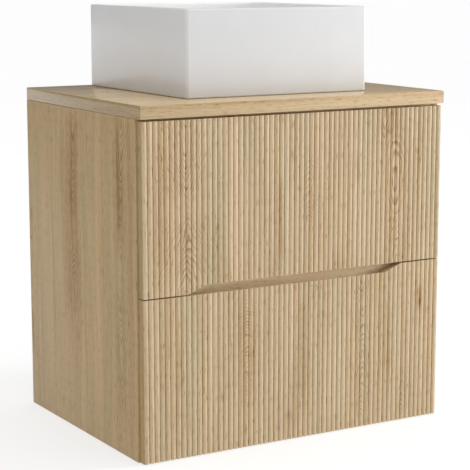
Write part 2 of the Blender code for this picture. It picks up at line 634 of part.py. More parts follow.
def build_trap(chrome, white):
    """A bottle trap: dip pipe, union nut, head with a side outlet, cup, outlet pipe and wall rosette."""
    pipe_bore = PIPE_RADIUS - PIPE_WALL
    around = PIPE_RADIUS + CLEARANCE
    pipe_low = TRAP_HEAD_LOW - DIP_PIPE_DEPTH
    add_ring("trap_dip_pipe", pipe_bore, PIPE_RADIUS, pipe_low, WASTE_BOTTOM + DIP_PIPE_REACH, chrome)
    shoulder = WASTE_BOTTOM - CLEARANCE
    nut_high = WASTE_BOTTOM + INLET_NUT_HEIGHT / 2
    nut_low = nut_high - INLET_NUT_HEIGHT
    bore = WASTE_RADIUS + CLEARANCE
    nut = [(around, nut_low), (UNION_NUT_RADIUS, nut_low), (UNION_NUT_RADIUS, nut_high), (bore, nut_high)]
    nut += [(bore, shoulder), (around, shoulder)]
    add_object("trap_inlet_nut", turned_mesh(nut, (0, BASIN_Y, 0), (0, 0, 1)), chrome)
    inside = TRAP_RADIUS - TRAP_WALL
    roof = TRAP_HEAD_TOP - TRAP_WALL
    head = [(around, TRAP_HEAD_TOP), (TRAP_RADIUS, TRAP_HEAD_TOP), (TRAP_RADIUS, TRAP_HEAD_LOW)]
    head += [(inside, TRAP_HEAD_LOW), (inside, roof), (around, roof)]
    trap = add_object("trap_head", turned_mesh(head, (0, BASIN_Y, 0), (0, 0, 1)), chrome)
    stub_end = BASIN_Y + OUTLET_STUB_LENGTH
    stub_start = (0, BASIN_Y + inside - TRAP_WALL / 2, OUTLET_HEIGHT)
    stub = cylinder_mesh(WASTE_RADIUS, stub_start, (0, stub_end, OUTLET_HEIGHT), ROUND_STEPS // 2)
    cut(trap, "trap_outlet_stub", stub, "UNION")
    bore_start = (0, BASIN_Y + PIPE_RADIUS + TRAP_WALL, OUTLET_HEIGHT)
    bore_end = (0, stub_end + PANEL, OUTLET_HEIGHT)
    cut(trap, "trap_outlet_bore", cylinder_mesh(around, bore_start, bore_end, ROUND_STEPS // 2))
    add_cup(inside, chrome)
    add_outlet(stub_end, around, pipe_bore, chrome, white)


def add_cup(inside, chrome):
    high = TRAP_HEAD_LOW - CLEARANCE
    low = high - TRAP_CUP_HEIGHT
    cup = [(0, low), (TRAP_RADIUS, low), (TRAP_RADIUS, high), (inside, high), (inside, low + TRAP_WALL)]
    cup += [(0, low + TRAP_WALL)]
    add_object("trap_cup", turned_mesh(cup, (0, BASIN_Y, 0), (0, 0, 1)), chrome)


def add_outlet(stub_end, around, pipe_bore, chrome, white):
    """The pipe from the stub to the wall, its union nut and the rosette on the wall."""
    start = (0, 0, OUTLET_HEIGHT)
    steps = ROUND_STEPS // 2
    pipe_start = stub_end - OUTLET_NUT_LENGTH
    pipe = ring_profile(pipe_bore, PIPE_RADIUS, pipe_start, WALL_Y)
    add_object("trap_outlet_pipe", turned_mesh(pipe, start, (0, 1, 0), steps), chrome)
    bore = WASTE_RADIUS + CLEARANCE
    shoulder = stub_end + CLEARANCE
    nut_start = stub_end - OUTLET_NUT_LENGTH / 2
    nut_end = nut_start + OUTLET_NUT_LENGTH
    nut = [(bore, nut_start), (UNION_NUT_RADIUS, nut_start), (UNION_NUT_RADIUS, nut_end), (around, nut_end)]
    nut += [(around, shoulder), (bore, shoulder)]
    add_object("trap_outlet_nut", turned_mesh(nut, start, (0, 1, 0), steps), chrome)
    rosette = [(around, WALL_Y - ROSETTE_DEPTH), (ROSETTE_RADIUS - ROSETTE_DEPTH, WALL_Y - ROSETTE_DEPTH)]
    rosette += [(ROSETTE_RADIUS, WALL_Y - ROSETTE_DEPTH / 3), (ROSETTE_RADIUS, WALL_Y), (around, WALL_Y)]
    add_object("wall_rosette", turned_mesh(rosette, start, (0, 1, 0), steps * 2), white)


def main():
    clear_scene()
    oak = finish("light_oak_decor", (0.52, 0.38, 0.24), 0.55)
    melamine = finish("drawer_melamine", (0.55, 0.52, 0.46), 0.5)
    ceramic = finish("glazed_ceramic", (0.86, 0.86, 0.85), 0.08)
    steel = finish("zinc_plated_steel", (0.62, 0.63, 0.64), 0.35, 1.0)
    chrome = finish("chrome", (0.78, 0.79, 0.80), 0.08, 1.0)
    brass = finish("plated_brass", (0.70, 0.66, 0.55), 0.25, 1.0)
    rubber = finish("black_rubber", (0.03, 0.03, 0.03), 0.8)
    plastic = finish("white_plastic", (0.75, 0.75, 0.73), 0.4)

    build_sides(oak)
    build_rails(oak)
    build_countertop(oak)
    build_hangers(steel, plastic)
    build_basin(ceramic)
    build_gasket(rubber)
    build_waste(chrome, rubber, brass)
    build_plug(chrome)
    build_trap(chrome, plastic)

    upper = joint_empty("upper_drawer_joint", (0, CARCASS_Y, UPPER_BOX_LOW + RUNNER_RISE))
    lower = joint_empty("lower_drawer_joint", (0, CARCASS_Y, LOWER_BOX_LOW + RUNNER_RISE))
    upper_middle = joint_empty("upper_runner_joint", upper.location)
    lower_middle = joint_empty("lower_runner_joint", lower.location)
    build_front("upper_front", oak, upper, turned=False)
    build_front("lower_front", oak, lower, turned=True)
    build_upper_box(melamine, steel, upper)
    build_lower_box(melamine, steel, lower)
    upper_carriers = {"cabinet": None, "middle": upper_middle, "drawer": upper}
    lower_carriers = {"cabinet": None, "middle": lower_middle, "drawer": lower}
    build_runners("upper", UPPER_BOX_LOW + RUNNER_RISE, steel, upper_carriers)
    build_runners("lower", LOWER_BOX_LOW + RUNNER_RISE, steel, lower_carriers)


main()
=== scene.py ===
"""Looks of a wall-hung oak vanity with two fluted drawers and a square vessel basin.

Metres, +Z up; the drawers open towards -Y and the wall is at +Y. Every piece takes its place from the
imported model, which is the fixed frame.
"""

import json
import logging
import math
from collections.abc import Callable, Iterator, Sequence
from contextlib import contextmanager
from dataclasses import dataclass, replace
from enum import Enum

import bmesh
import bpy
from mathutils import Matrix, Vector

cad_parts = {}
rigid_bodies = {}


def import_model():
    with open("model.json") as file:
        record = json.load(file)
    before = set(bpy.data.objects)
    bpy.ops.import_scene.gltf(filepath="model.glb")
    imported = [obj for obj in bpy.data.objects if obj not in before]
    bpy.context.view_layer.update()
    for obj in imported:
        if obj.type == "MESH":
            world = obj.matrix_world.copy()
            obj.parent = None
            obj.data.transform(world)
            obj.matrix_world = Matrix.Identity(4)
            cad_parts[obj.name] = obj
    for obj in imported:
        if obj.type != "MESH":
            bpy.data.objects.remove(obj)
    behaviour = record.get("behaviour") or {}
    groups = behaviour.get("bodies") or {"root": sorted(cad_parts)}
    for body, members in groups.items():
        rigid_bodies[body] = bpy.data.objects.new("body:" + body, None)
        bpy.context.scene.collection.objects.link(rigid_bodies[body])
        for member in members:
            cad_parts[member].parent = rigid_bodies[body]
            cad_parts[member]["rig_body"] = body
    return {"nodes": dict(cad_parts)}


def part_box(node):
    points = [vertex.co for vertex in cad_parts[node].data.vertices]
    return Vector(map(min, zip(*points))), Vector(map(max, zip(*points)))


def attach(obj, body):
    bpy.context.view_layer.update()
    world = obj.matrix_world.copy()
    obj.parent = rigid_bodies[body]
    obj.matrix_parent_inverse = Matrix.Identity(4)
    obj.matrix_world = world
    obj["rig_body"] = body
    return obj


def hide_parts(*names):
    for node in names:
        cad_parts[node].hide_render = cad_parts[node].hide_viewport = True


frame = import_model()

LOG = logging.getLogger("vanity")
WELD = 1e-6
OAK_SLOT = "light_oak_decor"

Colour = tuple[float, float, float]
Point = tuple[float, float, float]
PLAIN: Colour = (1.0, 1.0, 1.0)


# ---- node graphs -----------------------------------------------------------------------------------
class Term:
    """A number in a node graph. Sums, products and powers of terms become Math nodes."""

    def __init__(self, graph: "Graph", socket: bpy.types.NodeSocket) -> None:
        """Keeps the graph and the output socket that the number comes from."""
        self.graph = graph
        self.socket = socket

    def join(self, operation: str, *others: "Term | float") -> "Term":
        """A Math node of this term and the others."""
        return self.graph.math(operation, self, *others)

    def __add__(self, other: "Term | float") -> "Term":
        """This term plus the other."""
        return self.join("ADD", other)

    def __sub__(self, other: "Term | float") -> "Term":
        """This term less the other."""
        return self.join("SUBTRACT", other)

    def __mul__(self, other: "Term | float") -> "Term":
        """This term times the other."""
        return self.join("MULTIPLY", other)

    def root(self) -> "Term":
        """The term's square root."""
        return self.join("POWER", 0.5)

    def left(self) -> "Term":
        """What is left of one."""
        return self * -1.0 + 1.0

    def fraction(self) -> "Term":
        """What is left over a whole number."""
        return self.join("FRACT")

    def size(self) -> "Term":
        """The number without its sign."""
        return self.join("ABSOLUTE")

    def bell(self, spread: float) -> "Term":
        """A smooth bump that is 1 at zero and falls off over the spread."""
        square = self * (1 / spread)
        return (square * square * -1.0).join("EXPONENT")

    def between(self, low: float, high: float) -> "Term":
        """Rises smoothly from 0 at low to 1 at high."""
        return self.graph.rise(self, low, high)

    def window(self, low: float, high: float, fade: float) -> "Term":
        """1 from low to high, fading in and out over a length at either end."""
        return self.between(low, low + fade) * self.between(high - fade, high).left()


class Graph:
    """The node tree of one material, with short ways to add what the finishes need."""

    def __init__(self, name: str) -> None:
        """Starts a material with its Principled shader.

        Args:
            name: the name it gets.
        """
        self.material = bpy.data.materials.new(name)
        self.material.use_nodes = True
        self.tree = self.material.node_tree
        self.shader = self.tree.nodes["Principled BSDF"]

    def node(self, kind: str, **settings: object) -> bpy.types.Node:
        """Adds a node and sets its properties.

        Args:
            kind: the node's type.
            settings: the node's properties.

        Returns:
            The new node.
        """
        made = self.tree.nodes.new(kind)
        for key, value in settings.items():
            setattr(made, key, value)
        return made

    def feed(self, target: bpy.types.NodeSocket, value: object) -> None:
        """Links a term or a socket to an input, or writes a plain value into it.

        Args:
            target: the input socket.
            value: the term, socket or plain value.
        """
        if isinstance(value, Term):
            value = value.socket
        if isinstance(value, bpy.types.NodeSocket):
            self.tree.links.new(value, target)
        else:
            target.default_value = value

    def math(self, operation: str, *terms: "Term | float") -> Term:
        """A Math node.

        Args:
            operation: the node's operation.
            terms: the values it works on.

        Returns:
            The node's result.
        """
        made = self.node("ShaderNodeMath", operation=operation)
        for target, value in zip(made.inputs, terms):
            self.feed(target, value)
        return Term(self, made.outputs[0])

    def rise(self, value: Term, low: float, high: float) -> Term:
        """A smooth step from low to high.

        Args:
            value: the term.
            low: the lower end.
            high: the upper end.

        Returns:
            A term from 0 to 1.
        """
        made = self.node("ShaderNodeMapRange", interpolation_type="SMOOTHSTEP")
        for target, given in zip(made.inputs, (value, low, high, 0.0, 1.0)):
            self.feed(target, given)
        return Term(self, made.outputs[0])

    def place(self) -> tuple[Term, Term, Term]:
        """The point on the object, in millimetres.

        Returns:
            Its x, y and z.
        """
        coordinates = self.node("ShaderNodeTexCoord")
        parts = self.node("ShaderNodeSeparateXYZ")
        self.feed(parts.inputs[0], coordinates.outputs["Object"])
        return tuple(Term(self, part) * 1000.0 for part in parts.outputs)

    def facing(self) -> tuple[Term, Term, Term]:
        """The three parts of the surface's direction.

        Returns:
            Its x, y and z.
        """
        geometry = self.node("ShaderNodeNewGeometry")
        parts = self.node("ShaderNodeSeparateXYZ")
        self.feed(parts.inputs[0], geometry.outputs["Normal"])
        return tuple(Term(self, part) for part in parts.outputs)

    def noise(self, spots: Sequence["Term | float"], detail: float = 2.0, rough: float = 0.5) -> Term:
        """Noise about 0.5 at a point given by its three parts, in units of the noise's own size.

        Args:
            spots: the point's three parts.
            detail: how many finer layers the noise has.
            rough: how strong the finer layers are.

        Returns:
            The noise.
        """
        joined = self.node("ShaderNodeCombineXYZ")
        for target, value in zip(joined.inputs, spots):
            self.feed(target, value)
        made = self.node("ShaderNodeTexNoise", noise_dimensions="3D")
        self.feed(made.inputs["Vector"], joined.outputs[0])
        made.inputs["Scale"].default_value = 1.0
        made.inputs["Detail"].default_value = detail
        made.inputs["Roughness"].default_value = rough
        return Term(self, made.outputs[0])

    def ramp(self, value: Term, stops: Sequence[tuple[float, Colour]]) -> bpy.types.NodeSocket:
        """A colour from a value, by stops.

        Args:
            value: the term that picks the colour.
            stops: (position, colour) pairs.

        Returns:
            The colour's socket.
        """
        made = self.node("ShaderNodeValToRGB")
        band = made.color_ramp
        while len(band.elements) < len(stops):
            band.elements.new(0.5)
        for element, (position, colour) in zip(band.elements, stops):
            element.position = position
            element.color = (*colour, 1.0)
        self.feed(made.inputs[0], value)
        return made.outputs[0]

    def mix(
        self, share: "Term | float", first: object, second: object, blend: str = "MIX"
    ) -> bpy.types.NodeSocket:
        """Two colours mixed by a share.

        Args:
            share: how much of the second colour shows.
            first: the first colour.
            second: the second colour.
            blend: the node's blend type.

        Returns:
            The mixed colour's socket.
        """
        made = self.node("ShaderNodeMix", data_type="RGBA", blend_type=blend)
        self.feed(made.inputs[0], share)
        for target, value in ((made.inputs[6], first), (made.inputs[7], second)):
            self.feed(target, (*value, 1.0) if isinstance(value, tuple) else value)
        return made.outputs[2]

    def tinted(
        self, colour: bpy.types.NodeSocket, tint: Colour, share: "Term | float" = 1.0
    ) -> bpy.types.NodeSocket:
        """A colour multiplied by a tint, where a share says."""
        return self.mix(share, colour, self.mix(1.0, colour, tint, "MULTIPLY"))

    def bump(self, height: Term, distance: float) -> None:
        """Sends a height in to the shader's normal.

        Args:
            height: the relief.
            distance: how high it stands, in metres.
        """
        made = self.node("ShaderNodeBump")
        made.inputs["Distance"].default_value = distance
        self.feed(made.inputs["Height"], height)
        self.feed(self.shader.inputs["Normal"], made.outputs[0])

    def set(self, **values: object) -> None:
        """Feeds the shader's inputs, named with _ for a space."""
        for key, value in values.items():
            self.feed(self.shader.inputs[key.replace("_", " ")], value)


# ---- oak -------------------------------------------------------------------------------------------
class Grain(Enum):
    """Which way a board's grain runs."""

    SIDEWAYS = "along X, and along Y on the end faces"
    UPRIGHT = "along Z"


class Shape(Enum):
    """How the lines of a figure run."""

    RINGS = "nested ovals about a point"
    PEAKS = "nested arches, pointing up where the taper is above zero and down where it is below"


@dataclass(frozen=True)
class Figure:
    """A patch of bold grain lines on a board. Lengths are in millimetres."""

    shape: Shape
    across: float
    along: float
    low: float
    high: float
    spread: float
    taper: float = 0.22
    ring: float = 3.4
    strength: float = 1.0
    tip: float = 4.0

    def lines(self, graph: Graph, across: Term, along: Term, wobble: Term) -> Term:
        """How dark the figure makes each point.

        Args:
            graph: the material's node graph.
            across: the warped distance across the grain.
            along: the warped distance along the grain.
            wobble: noise that keeps the lines from being regular, in lines.

        Returns:
            A term from 0 to the figure's strength.
        """
        aside = across - self.across
        lift = (along - self.along) * self.taper
        if self.shape is Shape.RINGS:
            reach = (aside * aside + lift * lift).root()
        else:
            reach = (aside * aside + self.tip * self.tip).root() + lift
        rings = reach * (1 / self.ring) + wobble
        saw = rings.fraction()
        line = saw.between(*LINE_SWELLS) * saw.between(*LINE_STOPS).left()
        gaps = graph.noise((rings * 1.7, along * (1 / 26), self.across), 1.0).between(0.36, 0.58)
        broken = gaps * (1 - FAINTEST_LINE) + FAINTEST_LINE
        window = along.window(self.low, self.high, (self.high - self.low) * FIGURE_FADE)
        return line * broken * aside.bell(self.spread) * window * self.strength


@dataclass(frozen=True)
class Streak:
    """A long dark or warm streak along the grain, in millimetres."""

    across: float
    low: float
    high: float
    width: float
    strength: float

    def shade(self, bent: Term, along: Term) -> Term:
        """How dark the streak makes each point."""
        window = along.window(self.low, self.high, (self.high - self.low) * STREAK_FADE)
        return (bent - self.across).bell(self.width) * window * self.strength


@dataclass(frozen=True)
class Knot:
    """A small knot, in millimetres."""

    across: float
    along: float
    radius: float

    def shade(self, bent: Term, risen: Term) -> Term:
        """How dark the knot makes each point.

        Args:
            bent: the distance across the grain, bent as the grain wanders.
            risen: the distance along the grain, shifted likewise.

        Returns:
            A term from 0 to 1.
        """
        aside = (bent - self.across) * (1 / self.radius)
        far = (risen - self.along) * (KNOT_LENGTH / self.radius)
        return (aside * aside + far * far).root().bell(1.0)


@dataclass(frozen=True)
class Layer:
    """Noise stretched along the grain, by its size across and along the grain in millimetres."""

    across: float
    along: float
    offset: float
    detail: float = 2.0
    rough: float = 0.5
    weight: float = 1.0

    def term(self, graph: Graph, across: Term, along: Term, seed: float) -> Term:
        """The layer's noise, about 0.5."""
        spots = (across * (1 / self.across), along * (1 / self.along), seed + self.offset)
        return graph.noise(spots, self.detail, self.rough)

    def swing(self, graph: Graph, across: Term, along: Term, seed: float) -> Term:
        """The layer's noise about zero, times its weight."""
        return (self.term(graph, across, along, seed) - 0.5) * self.weight


# How the grain wanders, in millimetres, and how unevenly the lines of a figure are spaced, in lines.
SWEEP = Layer(70, 260, 0.0, 1.0, weight=20.0)
RIPPLE = Layer(11, 42, 3.1, weight=4.2)
DRIFT = Layer(26, 60, 7.7)
UNEVEN = Layer(90, 75, 9.9, 1.0, weight=5.0)
DRIFT_LENGTH, DRIFT_LINES = 26.0, 1.2
# The straight grain: bands, lines, hairs and the dashes of open pores, and how dark all of it starts.
BANDS = Layer(17, 520, 31.0, 2.0, 0.55, 0.70)
LINES = Layer(3.1, 210, 37.0, 3.0, 0.65, 0.72)
HAIRS = Layer(0.9, 22, 41.0, 2.0, 0.6, 0.44)
DASHES = Layer(1.5, 17, 43.0, 2.0, 0.55, 0.40)
BASE_TONE = 0.32
# The sheen, the relief of the pores, and the slow change of hue from one stretch to the next.
SHEEN = Layer(3, 40, 12.0, weight=0.14)
PITS = Layer(1 / 2.6, 7, 20.0, 1.0, weight=0.5)
HUES = Layer(34, 700, 51.0, 2.0, 0.6)
# The parts of a line in a figure where it swells and stops, and how faint a broken line gets.
LINE_SWELLS, LINE_STOPS, FAINTEST_LINE = (0.30, 0.90), (0.92, 1.0), 0.3
# The share of a figure's or a streak's length over which it fades in and out at either end.
FIGURE_FADE, STREAK_FADE = 0.28, 0.3
FIGURE_DEPTH, STREAK_DEPTH, KNOT_DEPTH, KNOT_LENGTH = 0.33, 1.3, 0.30, 0.45
# Painted shade in the valleys between a fluted front's ribs: its tint, how much of it shows, and the depth in
# millimetres over which it fades in.
VALLEY_SHADE_TINT, VALLEY_SHADE_SHARE, VALLEY_SHADE_FADE = (0.46, 0.39, 0.30), 0.62, 1.5
GREENISH, REDDISH, HUE_SHARE = (0.90, 0.985, 0.97), (1.04, 0.965, 0.90), 0.55
RELIEF = 0.00022
WHITEST = 0.95
OAK_STOPS = (
    (0.00, (0.72, 0.575, 0.405)),
    (0.38, (0.575, 0.440, 0.285)),
    (0.66, (0.445, 0.303, 0.150)),
    (1.00, (0.255, 0.148, 0.050)),
)


@dataclass(frozen=True)
class OakFinish:
    """Light oak with open grain, on one board.

    The crest is the y of a fluted front's ribs and the groove their depth, both in millimetres. The fold is
    -1 on a board seen from the side where x falls as its faces turn towards the wall.
    """

    name: str
    grain: Grain
    seed: float
    figures: tuple[Figure, ...] = ()
    streaks: tuple[Streak, ...] = ()
    knots: tuple[Knot, ...] = ()
    gloss: float = 0.50
    gain: Colour = PLAIN
    coat: float = 0.0
    # Painted shade: tints for the faces turned along x and the faces turned along y.
    end_shade_tint: Colour = PLAIN
    rim_shade_tint: Colour = PLAIN
    fold: float = 1.0
    crest: float | None = None
    groove: float = 0.0

    def material(self) -> bpy.types.Material:
        """The board's material.

        Returns:
            The material.
        """
        graph = Graph(self.name)
        x, y, z = graph.place()
        end, rim = (part.size().between(0.7, 0.9) for part in graph.facing()[:2])
        if self.grain is Grain.SIDEWAYS:
            across, along = z + y * end.left(), x * end.left() + y * end
        else:
            across, along = x + y * self.fold, z
        spot = (graph, across, along, self.seed)
        bent = across + SWEEP.swing(*spot) + RIPPLE.swing(*spot)
        drift = DRIFT.swing(*spot)
        risen = along + drift * DRIFT_LENGTH
        wobble = drift * DRIFT_LINES + UNEVEN.swing(*spot)

        tone = self.fibres(graph, across, bent, along)
        for figure in self.figures:
            tone = tone + figure.lines(graph, bent, risen, wobble) * FIGURE_DEPTH
        for streak in self.streaks:
            tone = tone + streak.shade(bent, along) * STREAK_DEPTH
        for knot in self.knots:
            tone = tone + knot.shade(bent, risen) * KNOT_DEPTH

        colour = self.colours(graph, tone, bent, along)
        # Painted shade: faces turned along x and faces turned along y are darkened by their tints.
        for facing, tint in ((end, self.end_shade_tint), (rim, self.rim_shade_tint)):
            if tint != PLAIN:
                colour = graph.tinted(colour, tint, facing)
        # Painted shade: the colour is darkened in the valleys between the ribs of a fluted front, where shade falls.
        if self.crest is not None:
            foot = self.crest + self.groove
            sunk = y.between(foot - VALLEY_SHADE_FADE, foot) * y.between(foot + 0.1, foot + 0.3).left()
            colour = graph.tinted(colour, VALLEY_SHADE_TINT, sunk * VALLEY_SHADE_SHARE)
        sheen = SHEEN.swing(graph, bent, along, self.seed) + self.gloss
        graph.set(Base_Color=colour, Roughness=sheen, IOR=1.46, Coat_Weight=self.coat, Coat_Roughness=0.06)
        pits = PITS.term(graph, bent, along, self.seed).between(0.30, 0.46)
        graph.bump(pits * PITS.weight - tone, RELIEF)
        return graph.material

    def fibres(self, graph: Graph, across: Term, bent: Term, along: Term) -> Term:
        """The straight grain between the figures, from broad bands down to single pores.

        Args:
            graph: the material's node graph.
            across: the distance across the grain.
            bent: the distance across the grain, bent as the grain wanders.
            along: the distance along the grain.

        Returns:
            The tone, where 0 is lightest and 1 darkest.
        """
        tone = BANDS.swing(graph, bent, along, self.seed) + LINES.swing(graph, bent, along, self.seed)
        tone = tone + HAIRS.swing(graph, across, along, self.seed)
        pores = DASHES.term(graph, bent, along, self.seed).between(0.55, 0.70)
        return tone + pores * DASHES.weight + BASE_TONE

    def colours(self, graph: Graph, tone: Term, bent: Term, along: Term) -> bpy.types.NodeSocket:
        """Oak colour from the tone, with grey-green and reddish stretches.

        Args:
            graph: the material's node graph.
            tone: how dark the grain is.
            bent: the distance across the grain, bent as the grain wanders.
            along: the distance along the grain.

        Returns:
            The colour's socket.
        """
        stops = [
            (at, tuple(min(part * gain, WHITEST) for part, gain in zip(colour, self.gain)))
            for at, colour in OAK_STOPS
        ]
        oak = graph.ramp(tone, stops)
        hue = HUES.term(graph, bent, along, self.seed)
        oak = graph.mix(hue.between(0.50, 0.68) * HUE_SHARE, oak, GREENISH, "MULTIPLY")
        return graph.mix(hue.left().between(0.50, 0.68) * HUE_SHARE, oak, REDDISH, "MULTIPLY")


# ---- other finishes ----------------------------------------------------------------------------------
@dataclass(frozen=True)
class CeramicFinish:
    """White glaze over vitreous china, with a fired surface's faint unevenness, painted whiter inside the bowl to stand
    in for light.
    """

    name: str = "glazed_ceramic"
    thin: Colour = (0.732, 0.737, 0.743)
    thick: Colour = (0.75, 0.755, 0.761)
    # Painted light: the whiter colour given to the inside of the bowl and the rim.
    bowl: Colour = (0.93, 0.925, 0.915)
    painted_light_inset: float = 3.0
    painted_light_fade: float = 1.5
    cloud_size: float = 45.0

    def material(self) -> bpy.types.Material:
        """The basin's material.

        Returns:
            The material.
        """
        graph = Graph(self.name)
        x, y, z = graph.place()
        cloud = graph.noise([part * (1 / self.cloud_size) for part in (x, y, z)], 2.0)
        colour = graph.ramp(cloud, [(0.3, self.thin), (0.7, self.thick)])
        low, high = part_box("basin")
        edge = (high.x - low.x) * 500 - self.painted_light_inset
        away = x.size().join("MAXIMUM", (y - (low.y + high.y) * 500).size())
        # Painted light: inside the bowl, most of the rim included, the glaze is made whiter than outside.
        colour = graph.mix(away.between(edge - self.painted_light_fade, edge).left(), colour, self.bowl)
        graph.set(Base_Color=colour, Roughness=0.28, IOR=1.5, Coat_Weight=0.25, Coat_Roughness=0.08)
        graph.bump(cloud, 0.00003)
        return graph.material


@dataclass(frozen=True)
class MelamineFinish:
    """Linen-grey melamine board with a fine crossed weave pressed into it."""

    name: str = "drawer_melamine"
    light: Colour = (0.60, 0.57, 0.505)
    dark: Colour = (0.43, 0.40, 0.345)
    thread: float = 1.6
    run: float = 14.0

    def material(self) -> bpy.types.Material:
        """The drawer boards' material.

        Returns:
            The material.
        """
        graph = Graph(self.name)
        x, y, z = graph.place()
        warp = graph.noise((x * self.thread, y * self.thread, z * (1 / self.run)), 2.0)
        weft = graph.noise((x * (1 / self.run), y * (1 / self.run), z * self.thread), 2.0)
        cloth = warp * 0.5 + weft * 0.5
        colour = graph.ramp(cloth, [(0.36, self.dark), (0.64, self.light)])
        graph.set(Base_Color=colour, Roughness=cloth * 0.2 + 0.42, IOR=1.45)
        graph.bump(cloth, 0.00008)
        return graph.material


@dataclass(frozen=True)
class MetalFinish:
    """A metal, with a drawn or cast unevenness in its gloss and a little wear."""

    name: str
    bright: Colour
    dull: Colour
    roughness: float
    spread: float
    grain: float
    relief: float

    def material(self) -> bpy.types.Material:
        """The metal's material.

        Returns:
            The material.
        """
        graph = Graph(self.name)
        x, y, z = graph.place()
        brushed = graph.noise((x * self.grain, y * (self.grain / 30), z * self.grain), 3.0, 0.6)
        cloud = graph.noise((x * (1 / 9), y * (1 / 9), z * (1 / 9)), 3.0, 0.6)
        colour = graph.ramp(cloud, [(0.32, self.dull), (0.66, self.bright)])
        roughness = brushed * self.spread + cloud * self.spread + (self.roughness - self.spread)
        graph.set(Base_Color=colour, Roughness=roughness, Metallic=1.0)
        graph.bump(brushed, self.relief)
        return graph.material


@dataclass(frozen=True)
class MouldedFinish:
    """Moulded plastic or rubber, with a fine eroded skin."""

    name: str
    light: Colour
    dark: Colour
    roughness: float
    relief: float

    def material(self) -> bpy.types.Material:
        """The moulding's material.

        Returns:
            The material.
        """
        graph = Graph(self.name)
        x, y, z = graph.place()
        skin = graph.noise((x * 2.2, y * 2.2, z * 2.2), 3.0, 0.6)
        cloud = graph.noise((x * (1 / 12), y * (1 / 12), z * (1 / 12)), 2.0)
        colour = graph.ramp(cloud, [(0.3, self.dark), (0.7, self.light)])
        roughness = skin * 0.16 + (self.roughness - 0.08)
        graph.set(Base_Color=colour, Roughness=roughness, IOR=1.47)
        graph.bump(skin, self.relief)
        return graph.material


# ---- modelling with operators --------------------------------------------------------------------------
class Element(Enum):
    """What a pick selects in edit mode."""

    VERT = "VERT"
    EDGE = "EDGE"
    FACE = "FACE"


